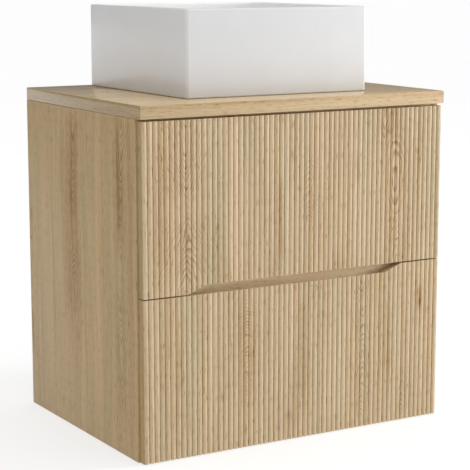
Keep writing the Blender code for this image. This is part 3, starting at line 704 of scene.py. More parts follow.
class Workpiece:
    """One mesh that is being modelled, with its place in its mesh and its object at the origin."""

    def __init__(self, item: bpy.types.Object) -> None:
        """Takes over an object."""
        self.item = item

    @staticmethod
    def rest() -> None:
        """Leaves nothing selected, in object mode."""
        if bpy.context.object and bpy.context.object.mode != "OBJECT":
            bpy.ops.object.mode_set(mode="OBJECT")
        bpy.ops.object.select_all(action="DESELECT")

    @classmethod
    def taken(cls, name: str) -> "Workpiece":
        """Names the primitive that was just added, and puts its place into its mesh.

        Args:
            name: the name it gets.

        Returns:
            The piece.
        """
        item = bpy.context.object
        item.name = item.data.name = name
        bpy.ops.object.transform_apply(location=True, rotation=True, scale=True)
        return cls(item)

    @classmethod
    def block(cls, name: str, low: Vector, high: Vector) -> "Workpiece":
        """A block between two corners.

        Args:
            name: the name it gets.
            low: the lowest corner.
            high: the highest corner.

        Returns:
            The piece.
        """
        cls.rest()
        bpy.ops.mesh.primitive_cube_add(size=1, location=(Vector(low) + Vector(high)) / 2)
        bpy.context.object.scale = Vector(high) - Vector(low)
        return cls.taken(name)

    @classmethod
    def rod(cls, name: str, radius: float, start: Vector, end: Vector, sides: int) -> "Workpiece":
        """A round rod between two points.

        Args:
            name: the name it gets.
            radius: the radius.
            start: the middle of one end.
            end: the middle of the other end.
            sides: how many sides it has.

        Returns:
            The piece.
        """
        cls.rest()
        run = Vector(end) - Vector(start)
        turn = run.to_track_quat("Z", "Y").to_euler()
        middle = (Vector(start) + Vector(end)) / 2
        bpy.ops.mesh.primitive_cylinder_add(
            vertices=sides, radius=radius, depth=run.length, location=middle, rotation=turn
        )
        return cls.taken(name)

    @classmethod
    def copy_of(cls, node: str, name: str) -> "Workpiece":
        """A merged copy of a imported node's mesh.

        Args:
            node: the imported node's name.
            name: the name it gets.

        Returns:
            The piece.
        """
        cls.rest()
        mesh = frame["nodes"][node].data.copy()
        item = bpy.data.objects.new(name, mesh)
        mesh.materials.clear()
        bpy.context.scene.collection.objects.link(item)
        item.select_set(True)
        bpy.context.view_layer.objects.active = item
        bpy.ops.mesh.customdata_custom_splitnormals_clear()
        made = cls(item)
        with made.editing():
            bpy.ops.mesh.select_all(action="SELECT")
            bpy.ops.mesh.remove_doubles(threshold=WELD * 5)
            bpy.ops.mesh.dissolve_limited(angle_limit=math.radians(0.5))
        return made

    @classmethod
    def turned(
        cls, name: str, profile: Sequence[tuple[float, float]], centre: Vector, axis: int, steps: int = 64
    ) -> "Workpiece":
        """A closed profile spun about an upright axis or an axis towards the wall.

        Args:
            name: the piece's name.
            profile: (distance from the axis, place along it) round the section.
            centre: a point on the axis.
            axis: 2 for an upright axis, 1 for one along Y.
            steps: how many sides the turned piece has.

        Returns:
            The turned piece.
        """
        centre = Vector(centre)
        direction = Vector([float(index == axis) for index in range(3)])

        def spot(entry: tuple[float, float]) -> Vector:
            """Where a point of the profile lies.

            Args:
                entry: the point of the profile.

            Returns:
                Its place.
            """
            place = centre + Vector((entry[0], 0, 0))
            place[axis] = entry[1]
            return place

        cls.rest()
        bpy.ops.mesh.primitive_plane_add(size=0.001, location=spot(profile[0]))
        made = cls.taken(name)
        with made.editing():
            made.pick(Element.VERT, lambda vert: vert.index > 0)
            bpy.ops.mesh.delete(type="VERT")
            bpy.ops.mesh.select_all(action="SELECT")
            start = bmesh.from_edit_mesh(made.item.data).verts
            start.ensure_lookup_table()
            bpy.ops.transform.translate(value=spot(profile[0]) - start[0].co)
            for here, there in zip(profile, [*profile[1:], profile[0]]):
                move = spot(there) - spot(here)
                bpy.ops.mesh.extrude_region_move(TRANSFORM_OT_translate={"value": move})
            bpy.ops.mesh.select_all(action="SELECT")
            bpy.ops.mesh.remove_doubles(threshold=WELD)
            bpy.ops.mesh.spin(steps=steps, angle=math.tau, center=centre, axis=direction)
            bpy.ops.mesh.select_all(action="SELECT")
            bpy.ops.mesh.remove_doubles(threshold=WELD)
            bpy.ops.mesh.dissolve_degenerate(threshold=WELD)
            bpy.ops.mesh.normals_make_consistent(inside=False)
        return made

    def alone(self) -> None:
        """Selects this piece and no other, and makes it the active one."""
        self.rest()
        self.item.select_set(True)
        bpy.context.view_layer.objects.active = self.item

    @contextmanager
    def editing(self) -> Iterator[None]:
        """Edit mode on this piece alone.

        Returns:
            Nothing, while the piece is in edit mode.
        """
        self.alone()
        bpy.ops.object.mode_set(mode="EDIT")
        yield
        bpy.ops.object.mode_set(mode="OBJECT")

    def pick(self, element: Element, test: Callable[[object], bool]) -> int:
        """Selects just the vertices, edges or faces that pass a test, and counts them.

        Args:
            element: vertices, edges or faces.
            test: says whether one is selected.

        Returns:
            How many are selected.
        """
        bpy.ops.mesh.select_mode(type=element.value)
        bpy.ops.mesh.select_all(action="DESELECT")
        shape = bmesh.from_edit_mesh(self.item.data)
        shape.verts.index_update()
        items = {Element.VERT: shape.verts, Element.EDGE: shape.edges, Element.FACE: shape.faces}[element]
        found = [item for item in items if test(item)]
        for item in found:
            item.select_set(True)
        bmesh.update_edit_mesh(self.item.data)
        return len(found)

    def ease(self, width: float, segments: int = 2, angle: float = 40.0) -> "Workpiece":
        """Rounds the outer edges that turn by more than an angle, and shades the rest smooth.

        Args:
            width: how wide the rounding is.
            segments: how many steps the rounding has.
            angle: the least angle, in degrees.

        Returns:
            The piece.
        """
        least = math.radians(angle)

        def sharp(edge: bmesh.types.BMEdge) -> bool:
            """Whether the edge stands out and turns enough.

            Args:
                edge: the edge.

            Returns:
                True when it is to be rounded.
            """
            if len(edge.link_faces) != 2 or not edge.is_convex:
                return False
            return edge.calc_face_angle(0.0) > least

        with self.editing():
            if self.pick(Element.EDGE, sharp):
                bpy.ops.mesh.bevel(offset=width, segments=segments, affect="EDGES", clamp_overlap=True)
        return self.smooth()

    def smooth(self, angle: float = 30.0) -> "Workpiece":
        """Smooth shading up to an angle.

        Args:
            angle: the least angle, in degrees.

        Returns:
            The piece.
        """
        self.alone()
        bpy.ops.object.shade_smooth_by_angle(angle=math.radians(angle))
        return self

    def cut(self, cutter: "Workpiece", operation: str = "DIFFERENCE") -> "Workpiece":
        """Cuts another piece out of this one, or joins it on, and removes it.

        Args:
            cutter: the piece that is used up.
            operation: the modifier's operation.

        Returns:
            The piece.
        """
        self.alone()
        change = self.item.modifiers.new("cut", "BOOLEAN")
        change.operation, change.solver, change.object = operation, "EXACT", cutter.item
        bpy.ops.object.modifier_apply(modifier=change.name)
        bpy.data.objects.remove(cutter.item)
        return self

    def done(self, body: str, material: bpy.types.Material, slot: str, *nodes: str) -> bpy.types.Object:
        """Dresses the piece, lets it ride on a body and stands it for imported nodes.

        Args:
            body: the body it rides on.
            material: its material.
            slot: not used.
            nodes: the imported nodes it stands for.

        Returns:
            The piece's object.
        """
        self.item.data.materials.clear()
        self.item.data.materials.append(material)
        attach(self.item, body)
        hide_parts(*nodes)
        LOG.info("%s: %d faces", self.item.name, len(self.item.data.polygons))
        return self.item


def middle_of(node: str) -> Vector:
    """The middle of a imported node's box."""
    low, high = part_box(node)
    return (low + high) / 2


def span(node: str) -> tuple[Vector, Vector, float]:
    """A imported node's lowest and highest corner, and half its width."""
    low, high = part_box(node)
    return low, high, (high.x - low.x) / 2


# ---- the cabinet ------------------------------------------------------------------------------------
SIDE_FIGURES = (
    Figure(Shape.PEAKS, 30, 480, 370, 585, 36, -0.36, 6.4, 1.1),
    Figure(Shape.PEAKS, 30, 270, 180, 370, 32, 0.34, 6.4, 1.0),
    Figure(Shape.PEAKS, -155, 500, 400, 585, 30, -0.34, 6.6, 1.3),
    Figure(Shape.PEAKS, -150, 300, 300, 460, 22, 0.34, 6.0, 1.0),
    Figure(Shape.PEAKS, -148, 160, 0, 330, 32, -0.34, 6.8, 1.2),
    Figure(Shape.RINGS, 214, 340, 300, 380, 9, 0.35, 3.4, 1.2),
)
SIDE_STREAKS = (
    Streak(36, 300, 600, 4, 0.26),
    Streak(22, 330, 575, 9, 0.14),
    Streak(-143, 320, 600, 5, 0.26),
    Streak(-150, 345, 520, 10, 0.16),
    Streak(-92, 120, 460, 3, 0.12),
    Streak(120, 60, 500, 4, 0.10),
    Streak(60, 120, 560, 30, 0.10),
    Streak(214, 90, 190, 6, 0.22),
    Streak(-60, -20, 560, 40, -0.07),
    Streak(150, -20, 560, 34, -0.07),
)
SIDE_KNOTS = (
    Knot(28, 514, 3.4),
    Knot(40, 412, 3.6),
    Knot(2, 194, 3.8),
    Knot(18, 166, 3.2),
    Knot(88, 36, 3.4),
    Knot(50, 34, 3.4),
)
SIDE_GAIN = (0.785, 0.71, 0.54)
# Painted light: the rails, seen through the finger gap, are made much lighter than the other boards, standing in for
# light falling on them.
RAIL_PAINTED_LIGHT_GAIN = (1.52, 1.48, 1.43)
# The countertop's gain is partly the board's own tone and partly painted light on the top; its end and rim tints are
# painted shade on its end faces and its front and back edges.
TOP_OAK = OakFinish(
    "oak_countertop", Grain.SIDEWAYS, 97.0,
    (Figure(Shape.RINGS, 440, -420, -330, -60, 30, 0.10, 4.5, 0.7),),
    (Streak(700, -300, 300, 26, 0.06),),
    gloss=0.55, gain=(1.15, 1.08, 0.89), coat=0.80, end_shade_tint=(0.55, 0.53, 0.46), rim_shade_tint=(0.84, 0.82, 0.81),
)


@dataclass
class Cabinet:
    """The carcass: side panels, countertop, rails and bottom."""

    body: str = "cabinet"
    panel_edge: float = 0.0006
    top_edge: float = 0.0012
    rail_edge: float = 0.0004
    drain_radius: float = 0.0225

    def build(self) -> None:
        """Builds and dresses every piece of the carcass."""
        self.side_panels()
        self.countertop()
        self.rails()

    def side_panels(self) -> None:
        """The two sides, upright boards with eased edges."""
        for index, node in enumerate(("left_side_panel", "right_side_panel")):
            low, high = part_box(node)
            panel = Workpiece.block(f"{node}_oak", low, high)
            panel.ease(self.panel_edge, 3)
            oak = OakFinish(
                f"oak_{node}", Grain.UPRIGHT, 5.0 + 40 * index, self.shifted(SIDE_FIGURES, node),
                self.shifted(SIDE_STREAKS, node), self.shifted(SIDE_KNOTS, node), gain=SIDE_GAIN,
            )
            panel.done(self.body, oak.material(), OAK_SLOT, node)

    @staticmethod
    def shifted(marks: tuple, node: str) -> tuple:
        """Moves marks given by their distance in y to where x + y says they are on this panel's outer face.

        Args:
            marks: figures, streaks or knots.
            node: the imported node's name.

        Returns:
            The moved marks.
        """
        low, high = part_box(node)
        outer = low.x if low.x < 0 else high.x
        return tuple(replace(mark, across=mark.across + outer * 1000) for mark in marks)

    def countertop(self) -> None:
        """The worktop, with rounded edges and the hole that the waste passes through."""
        low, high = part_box("countertop")
        top = Workpiece.block("countertop_oak", low, high)
        with top.editing():
            top.pick(Element.EDGE, lambda edge: True)
            bpy.ops.mesh.bevel(offset=self.top_edge, segments=3, affect="EDGES")
        axis = middle_of("waste_flange")
        start, end = Vector((axis.x, axis.y, low.z - 0.01)), Vector((axis.x, axis.y, high.z + 0.01))
        top.cut(Workpiece.rod("drain_cutter", self.drain_radius, start, end, 64)).smooth()
        top.done(self.body, TOP_OAK.material(), OAK_SLOT, "countertop")

    def rails(self) -> None:
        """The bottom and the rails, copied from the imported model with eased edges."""
        for index, node in enumerate(
            ("bottom_panel", "front_top_rail", "middle_rail", "back_bottom_rail", "back_top_rail")
        ):
            board = Workpiece.copy_of(node, f"{node}_oak").ease(self.rail_edge, 2)
            # Painted light: the rails get a strong lightening gain.
            oak = OakFinish(f"oak_{node}", Grain.SIDEWAYS, 120.0 + 9 * index, gain=RAIL_PAINTED_LIGHT_GAIN)
            board.done(self.body, oak.material(), OAK_SLOT, node)


# ---- drawer fronts ----------------------------------------------------------------------------------
FRONT_GAIN = (0.99, 0.985, 0.92)
# Painted shade on the faces of a front turned along x: its side edges and the end walls of its grip.
FRONT_SIDE_SHADE = (0.70, 0.63, 0.46)
UPPER_OAK = OakFinish(
    "oak_front_upper", Grain.UPRIGHT, 210.0,
    (
        Figure(Shape.PEAKS, 2, 500, 400, 630, 42, -0.34, 4.4, 1.3),
        Figure(Shape.PEAKS, 4, 300, 250, 430, 42, 0.45, 5.2, 1.4),
        Figure(Shape.PEAKS, 240, 430, 360, 520, 14, 0.60, 5.4, 1.0),
        Figure(Shape.RINGS, 418, 440, 340, 540, 30, 0.24, 5.2, 1.3),
        Figure(Shape.PEAKS, 424, 300, 255, 375, 28, 0.38, 5.0, 1.2),
        Figure(Shape.PEAKS, 396, 540, 480, 600, 27, -0.36, 5.0, 1.2),
    ),
    (
        Streak(186, 285, 480, 6, 0.20), Streak(412, 500, 575, 12, 0.14), Streak(340, 420, 500, 4, 0.16),
        Streak(300, 270, 330, 10, 0.10), Streak(-40, 270, 560, 30, 0.05), Streak(470, 270, 560, 40, 0.05),
        Streak(90, 270, 580, 34, -0.05), Streak(345, 270, 580, 26, -0.04),
    ),
    (Knot(206, 545, 2.6), Knot(206, 492, 2.8), Knot(60, 383, 3.0), Knot(465, 484, 3.4), Knot(143, 298, 2.6)),
    gain=FRONT_GAIN, end_shade_tint=FRONT_SIDE_SHADE, fold=-1.0,
)
LOWER_OAK = OakFinish(
    "oak_front_lower", Grain.UPRIGHT, 330.0,
    (
        Figure(Shape.PEAKS, 116, 160, 50, 285, 12, 0.62, 4.6, 1.1),
        Figure(Shape.PEAKS, 350, 230, 180, 300, 22, -0.36, 4.8, 1.2),
        Figure(Shape.PEAKS, 350, 130, 70, 215, 22, 0.38, 4.8, 1.3),
        Figure(Shape.PEAKS, 350, 60, 0, 115, 16, 0.50, 5.0, 1.0),
        Figure(Shape.PEAKS, 250, 250, 215, 285, 10, 0.55, 4.6, 0.8),
        Figure(Shape.PEAKS, 440, 50, 0, 105, 16, 0.40, 4.8, 0.9),
    ),
    (
        Streak(230, 10, 290, 7, 0.16), Streak(478, 190, 250, 5, 0.26), Streak(478, 150, 280, 16, 0.08),
        Streak(-10, 0, 290, 30, 0.05), Streak(205, -20, 160, 10, 0.08), Streak(60, -20, 290, 26, -0.05),
        Streak(300, -20, 290, 22, -0.05), Streak(410, 60, 230, 16, 0.07),
    ),
    (Knot(-5, 136, 3.2), Knot(116, 32, 3.0), Knot(202, 44, 3.0), Knot(478, 214, 3.2)),
    gain=FRONT_GAIN, end_shade_tint=FRONT_SIDE_SHADE, fold=-1.0,
)


@dataclass
class FlutedFronts:
    """The two drawer fronts: sixty round ribs, a stepped edge and an undercut finger grip."""

    ribs: int = 60
    rib_depth: float = 0.0023
    rib_sides: int = 96
    grip_lip: float = 0.003
    grip_height: float = 0.010
    grip_half: float = 0.178
    slope_run: float = 0.036
    finger_gap: float = 0.0156
    reach: float = 0.05
    edge: float = 0.0003

    def build(self) -> None:
        """Models one front, and turns a copy of it over for the other drawer."""
        upper_low, upper_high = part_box("upper_front")
        lower_low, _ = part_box("lower_front")
        middle = (upper_high.z + lower_low.z) / 2
        upper = self.slab(upper_low, upper_high)
        self.step_edge(upper, upper_low, upper_high, middle + self.finger_gap / 2)
        upper.ease(self.edge, 1, 55.0)
        Workpiece.rest()
        mesh = upper.item.data.copy()
        lower = Workpiece(bpy.data.objects.new("lower_front_oak", mesh))
        bpy.context.scene.collection.objects.link(lower.item)
        with lower.editing():
            bpy.ops.mesh.select_all(action="SELECT")
            bpy.ops.transform.rotate(value=math.pi, orient_axis="Y", center_override=(0, 0, middle))
        for front, drawer, oak in ((upper, "upper", UPPER_OAK), (lower, "lower", LOWER_OAK)):
            # The ribs' crest and depth place the painted shade in the valleys between the ribs.
            finish = replace(oak, crest=upper_low.y * 1000, groove=self.rib_depth * 1000)
            front.done(f"{drawer}_drawer", finish.material(), OAK_SLOT, f"{drawer}_front")

    def slab(self, low: Vector, high: Vector) -> Workpiece:
        """One rib is sliced from a rod, drawn back to the board's back, repeated and joined.

        Args:
            low: the front's lowest corner.
            high: the front's highest corner.

        Returns:
            The fluted board.
        """
        pitch = (high.x - low.x) / self.ribs
        radius = (pitch * pitch / 4 + self.rib_depth**2) / (2 * self.rib_depth)
        centre = Vector((low.x + pitch / 2, low.y + radius, low.z))
        top = centre + Vector((0, 0, high.z - low.z))
        rib = Workpiece.rod("upper_front_oak", radius, centre, top, self.rib_sides)
        flat_y = low.y + self.rib_depth * 1.5
        with rib.editing():
            for spot, normal in (
                ((low.x, 0, 0), (-1, 0, 0)),
                ((low.x + pitch, 0, 0), (1, 0, 0)),
                ((0, flat_y, 0), (0, 1, 0)),
            ):
                bpy.ops.mesh.select_all(action="SELECT")
                bpy.ops.mesh.bisect(
                    plane_co=spot, plane_no=normal, use_fill=True, clear_outer=True, threshold=WELD
                )
            rib.pick(Element.FACE, lambda face: face.normal.y > 0.9)
            bpy.ops.mesh.extrude_region_move(TRANSFORM_OT_translate={"value": (0, high.y - flat_y, 0)})
        row = rib.item.modifiers.new("row", "ARRAY")
        row.count, row.use_relative_offset, row.use_constant_offset = self.ribs, False, True
        row.constant_offset_displace = (pitch, 0, 0)
        bpy.ops.object.modifier_apply(modifier=row.name)
        with rib.editing():
            rib.pick(
                Element.FACE,
                lambda face: abs(face.normal.x) > 0.99
                and abs(abs(face.calc_center_median().x) - high.x) > pitch / 4
                and face.calc_center_median().y > low.y + self.rib_depth * 0.9,
            )
            bpy.ops.mesh.delete(type="FACE")
            bpy.ops.mesh.select_all(action="SELECT")
            bpy.ops.mesh.remove_doubles(threshold=WELD * 10)
            bpy.ops.mesh.normals_make_consistent(inside=False)
        return rib

    def step_edge(self, front: Workpiece, low: Vector, high: Vector, grip_z: float) -> None:
        """Cuts the stepped lower edge and the grip's undercut.

        Args:
            front: the front that is cut.
            low: the front's lowest corner.
            high: the front's highest corner.
            grip_z: the height of the grip's upper edge.
        """
        drop = grip_z - low.z
        foot_x = -self.grip_half - self.slope_run * (drop + self.reach) / drop
        corner = Vector((-self.grip_half, low.y - self.reach, low.z - self.reach))
        step = Workpiece.block("step_cutter", corner, (high.x + self.reach, high.y + self.reach, grip_z))
        with step.editing():
            step.pick(Element.VERT, lambda vert: vert.co.x < 0 and vert.co.z < low.z)
            bpy.ops.transform.translate(value=(foot_x + self.grip_half, 0, 0))
        front.cut(step)
        lip_y = low.y + self.rib_depth + self.grip_lip
        rise = self.grip_height / (high.y - lip_y) * (high.y + self.reach - lip_y)
        grip = Workpiece.block(
            "grip_cutter", (-self.grip_half, lip_y, grip_z - self.reach),
            (self.grip_half, high.y + self.reach, grip_z),
        )
        with grip.editing():
            grip.pick(Element.VERT, lambda vert: vert.co.y > high.y and vert.co.z > grip_z - WELD)
            bpy.ops.transform.translate(value=(0, 0, rise))
        front.cut(grip)


# ---- drawer boxes and runners ------------------------------------------------------------------------
@dataclass
class DrawerBox:
    """A melamine drawer box with its screws, and the runners it rides on."""

    drawer: str
    board_edge: float = 0.0004
    sheet_edge: float = 0.0002
    head_radius: float = 0.0045
    recess: float = 0.0011

    def build(self, melamine: bpy.types.Material, steel: bpy.types.Material) -> None:
        """Builds and dresses the box, the screws and the runners.

        Args:
            melamine: the boards' material.
            steel: the screws' and runners' material.
        """
        fronts = ("upper_front", "lower_front")
        for node in sorted(frame["nodes"]):
            if not node.startswith(self.drawer) or node in fronts:
                continue
            body = frame["nodes"][node]["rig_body"]
            if "screw" in node:
                self.screw(node).done(body, steel, "zinc_plated_steel", node)
            elif "runner" in node:
                member = Workpiece.copy_of(node, f"{node}_steel").ease(self.sheet_edge, 2)
                member.done(body, steel, "zinc_plated_steel", node)
            else:
                board = Workpiece.copy_of(node, f"{node}_board").ease(self.board_edge, 2)
                board.done(body, melamine, "drawer_melamine", node)

    def screw(self, node: str) -> Workpiece:
        """A pan-head screw with a cross recess, its head towards the inside of the drawer.

        Args:
            node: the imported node's name.

        Returns:
            The screw.
        """
        low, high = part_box(node)
        centre = (low + high) / 2
        head = high.y - 0.0025
        profile = [
            (0, low.y), (0.0006, low.y), (0.0019, low.y + 0.003), (0.0019, head), (self.head_radius, head),
            (self.head_radius * 0.98, head + 0.0010), (self.head_radius * 0.75, head + 0.0020),
            (self.head_radius * 0.35, high.y), (0, high.y),
        ]
        screw = Workpiece.turned(f"{node}_steel", profile, centre, 1, 32)
        arm, blade = self.head_radius * 0.55, 0.0005
        for wide, tall in ((arm, blade), (blade, arm)):
            screw.cut(Workpiece.block(
                "recess_cutter",
                (centre.x - wide, high.y - self.recess, centre.z - tall),
                (centre.x + wide, high.y + 0.002, centre.z + tall),
            ))
        return screw.smooth()


# ---- basin -------------------------------------------------------------------------------------------
@dataclass
class Basin:
    """The square vessel basin: thin rim, drafted walls, filleted floor that falls to the drain."""

    body: str = "cabinet"
    rim: float = 0.010
    outer_radius: float = 0.006
    edge: float = 0.003
    inner_radius: float = 0.018
    draft: float = 0.004
    floor: float = 0.020
    fillet: float = 0.016
    fall: float = 0.005
    foot: float = 0.024
    recess: float = 0.004
    drain: float = 0.0225
    seat: float = 0.036
    corner_points: int = 10
    arc_points: int = 5
    stack: float = 0.010

    def rings(self, low: Vector, high: Vector) -> list[tuple[float, float, float]]:
        """(half width, corner radius, height) of each ring, from the drain round to the drain again.

        Args:
            low: the basin's lowest corner.
            high: the basin's highest corner.

        Returns:
            The rings in order.
        """
        half = (high.x - low.x) / 2
        mouth = half - self.rim
        quarter = [math.pi / 2 * step / self.arc_points for step in range(self.arc_points + 1)]
        rings = [(self.drain, self.drain, low.z + self.recess)]
        inside = half - self.foot - self.recess
        rings.append((inside, self.outer_radius, low.z + self.recess))
        rings.append((inside + self.recess, self.outer_radius, low.z))
        for angle in quarter:
            sunk = self.edge * (1 - math.sin(angle))
            rings.append((half - sunk, self.outer_radius - sunk / 2, low.z + self.edge * (1 - math.cos(angle))))
        rings.append((half, self.outer_radius, (low.z + high.z) / 2))
        for angle in quarter:
            sunk = self.edge * (1 - math.cos(angle))
            rings.append((half - sunk, self.outer_radius - sunk, high.z - self.edge * (1 - math.sin(angle))))
        for angle in quarter:
            out = self.edge * (1 - math.sin(angle))
            rings.append((mouth + out, self.inner_radius + out, high.z - self.edge * (1 - math.cos(angle))))
        floor = low.z + self.floor
        for angle in quarter:
            sunk = self.draft + self.fillet * (1 - math.cos(angle))
            rings.append((mouth - sunk, self.inner_radius, floor + self.fillet * (1 - math.sin(angle))))
        for share in (0.72, 0.44):
            near, far = self.seat, mouth - self.draft - self.fillet
            half_here = near + (far - near) * share
            radius = self.seat + (self.inner_radius - self.seat) * share
            rings.append((half_here, radius, floor - self.fall * (1 - share)))
        rings.append((self.seat, self.seat, floor - self.fall))
        rings.append((self.drain, self.drain, floor - self.fall))
        return rings

    def add_ring(self, basin: Workpiece, centre: Vector, half: float, radius: float, index: int) -> None:
        """Adds a circle on the stack and pulls its quarters apart into a square with round corners.

        Args:
            basin: the piece that gets the ring.
            centre: the basin's middle.
            half: half the ring's width.
            radius: the radius of its corners.
            index: the ring's place in the stack.
        """
        count = 4 * self.corner_points
        first = index * count
        step = math.tau / count
        bpy.ops.mesh.primitive_circle_add(
            vertices=count, radius=radius, fill_type="NOTHING", rotation=(0, 0, step / 2),
            location=(centre.x, centre.y, index * self.stack),
        )
        spread = half - radius * math.cos(step / 2)
        if spread < WELD or half - radius < WELD:
            return
        for side_x in (-1, 1):
            for side_y in (-1, 1):
                basin.pick(
                    Element.VERT,
                    lambda vert: vert.index >= first
                    and (vert.co.x - centre.x) * side_x > 0
                    and (vert.co.y - centre.y) * side_y > 0,
                )
                bpy.ops.transform.translate(value=(side_x * spread, side_y * spread, 0))

    def build(self, glaze: bpy.types.Material, rubber: bpy.types.Material) -> None:
        """Bridges the rings into the basin, and adds the foam ring under it.

        Args:
            glaze: the basin's material.
            rubber: the gasket's material.
        """
        low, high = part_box("basin")
        centre = (low + high) / 2
        rings = self.rings(low, high)
        Workpiece.rest()
        bpy.ops.mesh.primitive_plane_add(size=0.01, location=centre)
        basin = Workpiece.taken("basin_ceramic")
        count = 4 * self.corner_points
        with basin.editing():
            bpy.ops.mesh.select_all(action="SELECT")
            bpy.ops.mesh.delete(type="VERT")
            for index, (half, radius, _) in enumerate(rings):
                self.add_ring(basin, centre, half, radius, index)
            for index in range(len(rings)):
                pair = (index, (index + 1) % len(rings))
                basin.pick(
                    Element.EDGE,
                    lambda edge: len({vert.index // count for vert in edge.verts}) == 1
                    and edge.verts[0].index // count in pair,
                )
                bpy.ops.mesh.bridge_edge_loops()
            for index, (_, _, height) in enumerate(rings):
                basin.pick(Element.VERT, lambda vert: vert.index // count == index)
                bpy.ops.transform.translate(value=(0, 0, height - index * self.stack))
            bpy.ops.mesh.select_all(action="SELECT")
            bpy.ops.mesh.normals_make_consistent(inside=False)
        basin.smooth(50.0).done(self.body, glaze, "glazed_ceramic", "basin")
        gasket_low, gasket_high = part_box("basin_gasket")
        outer = (gasket_high.x - gasket_low.x) / 2
        bore = self.drain + 0.0003
        profile = [(bore, gasket_low.z), (outer, gasket_low.z), (outer, gasket_high.z), (bore, gasket_high.z)]
        gasket = Workpiece.turned("basin_gasket_rubber", profile, centre, 2)
        gasket.ease(0.0006, 2).done(self.body, rubber, "black_rubber", "basin_gasket")


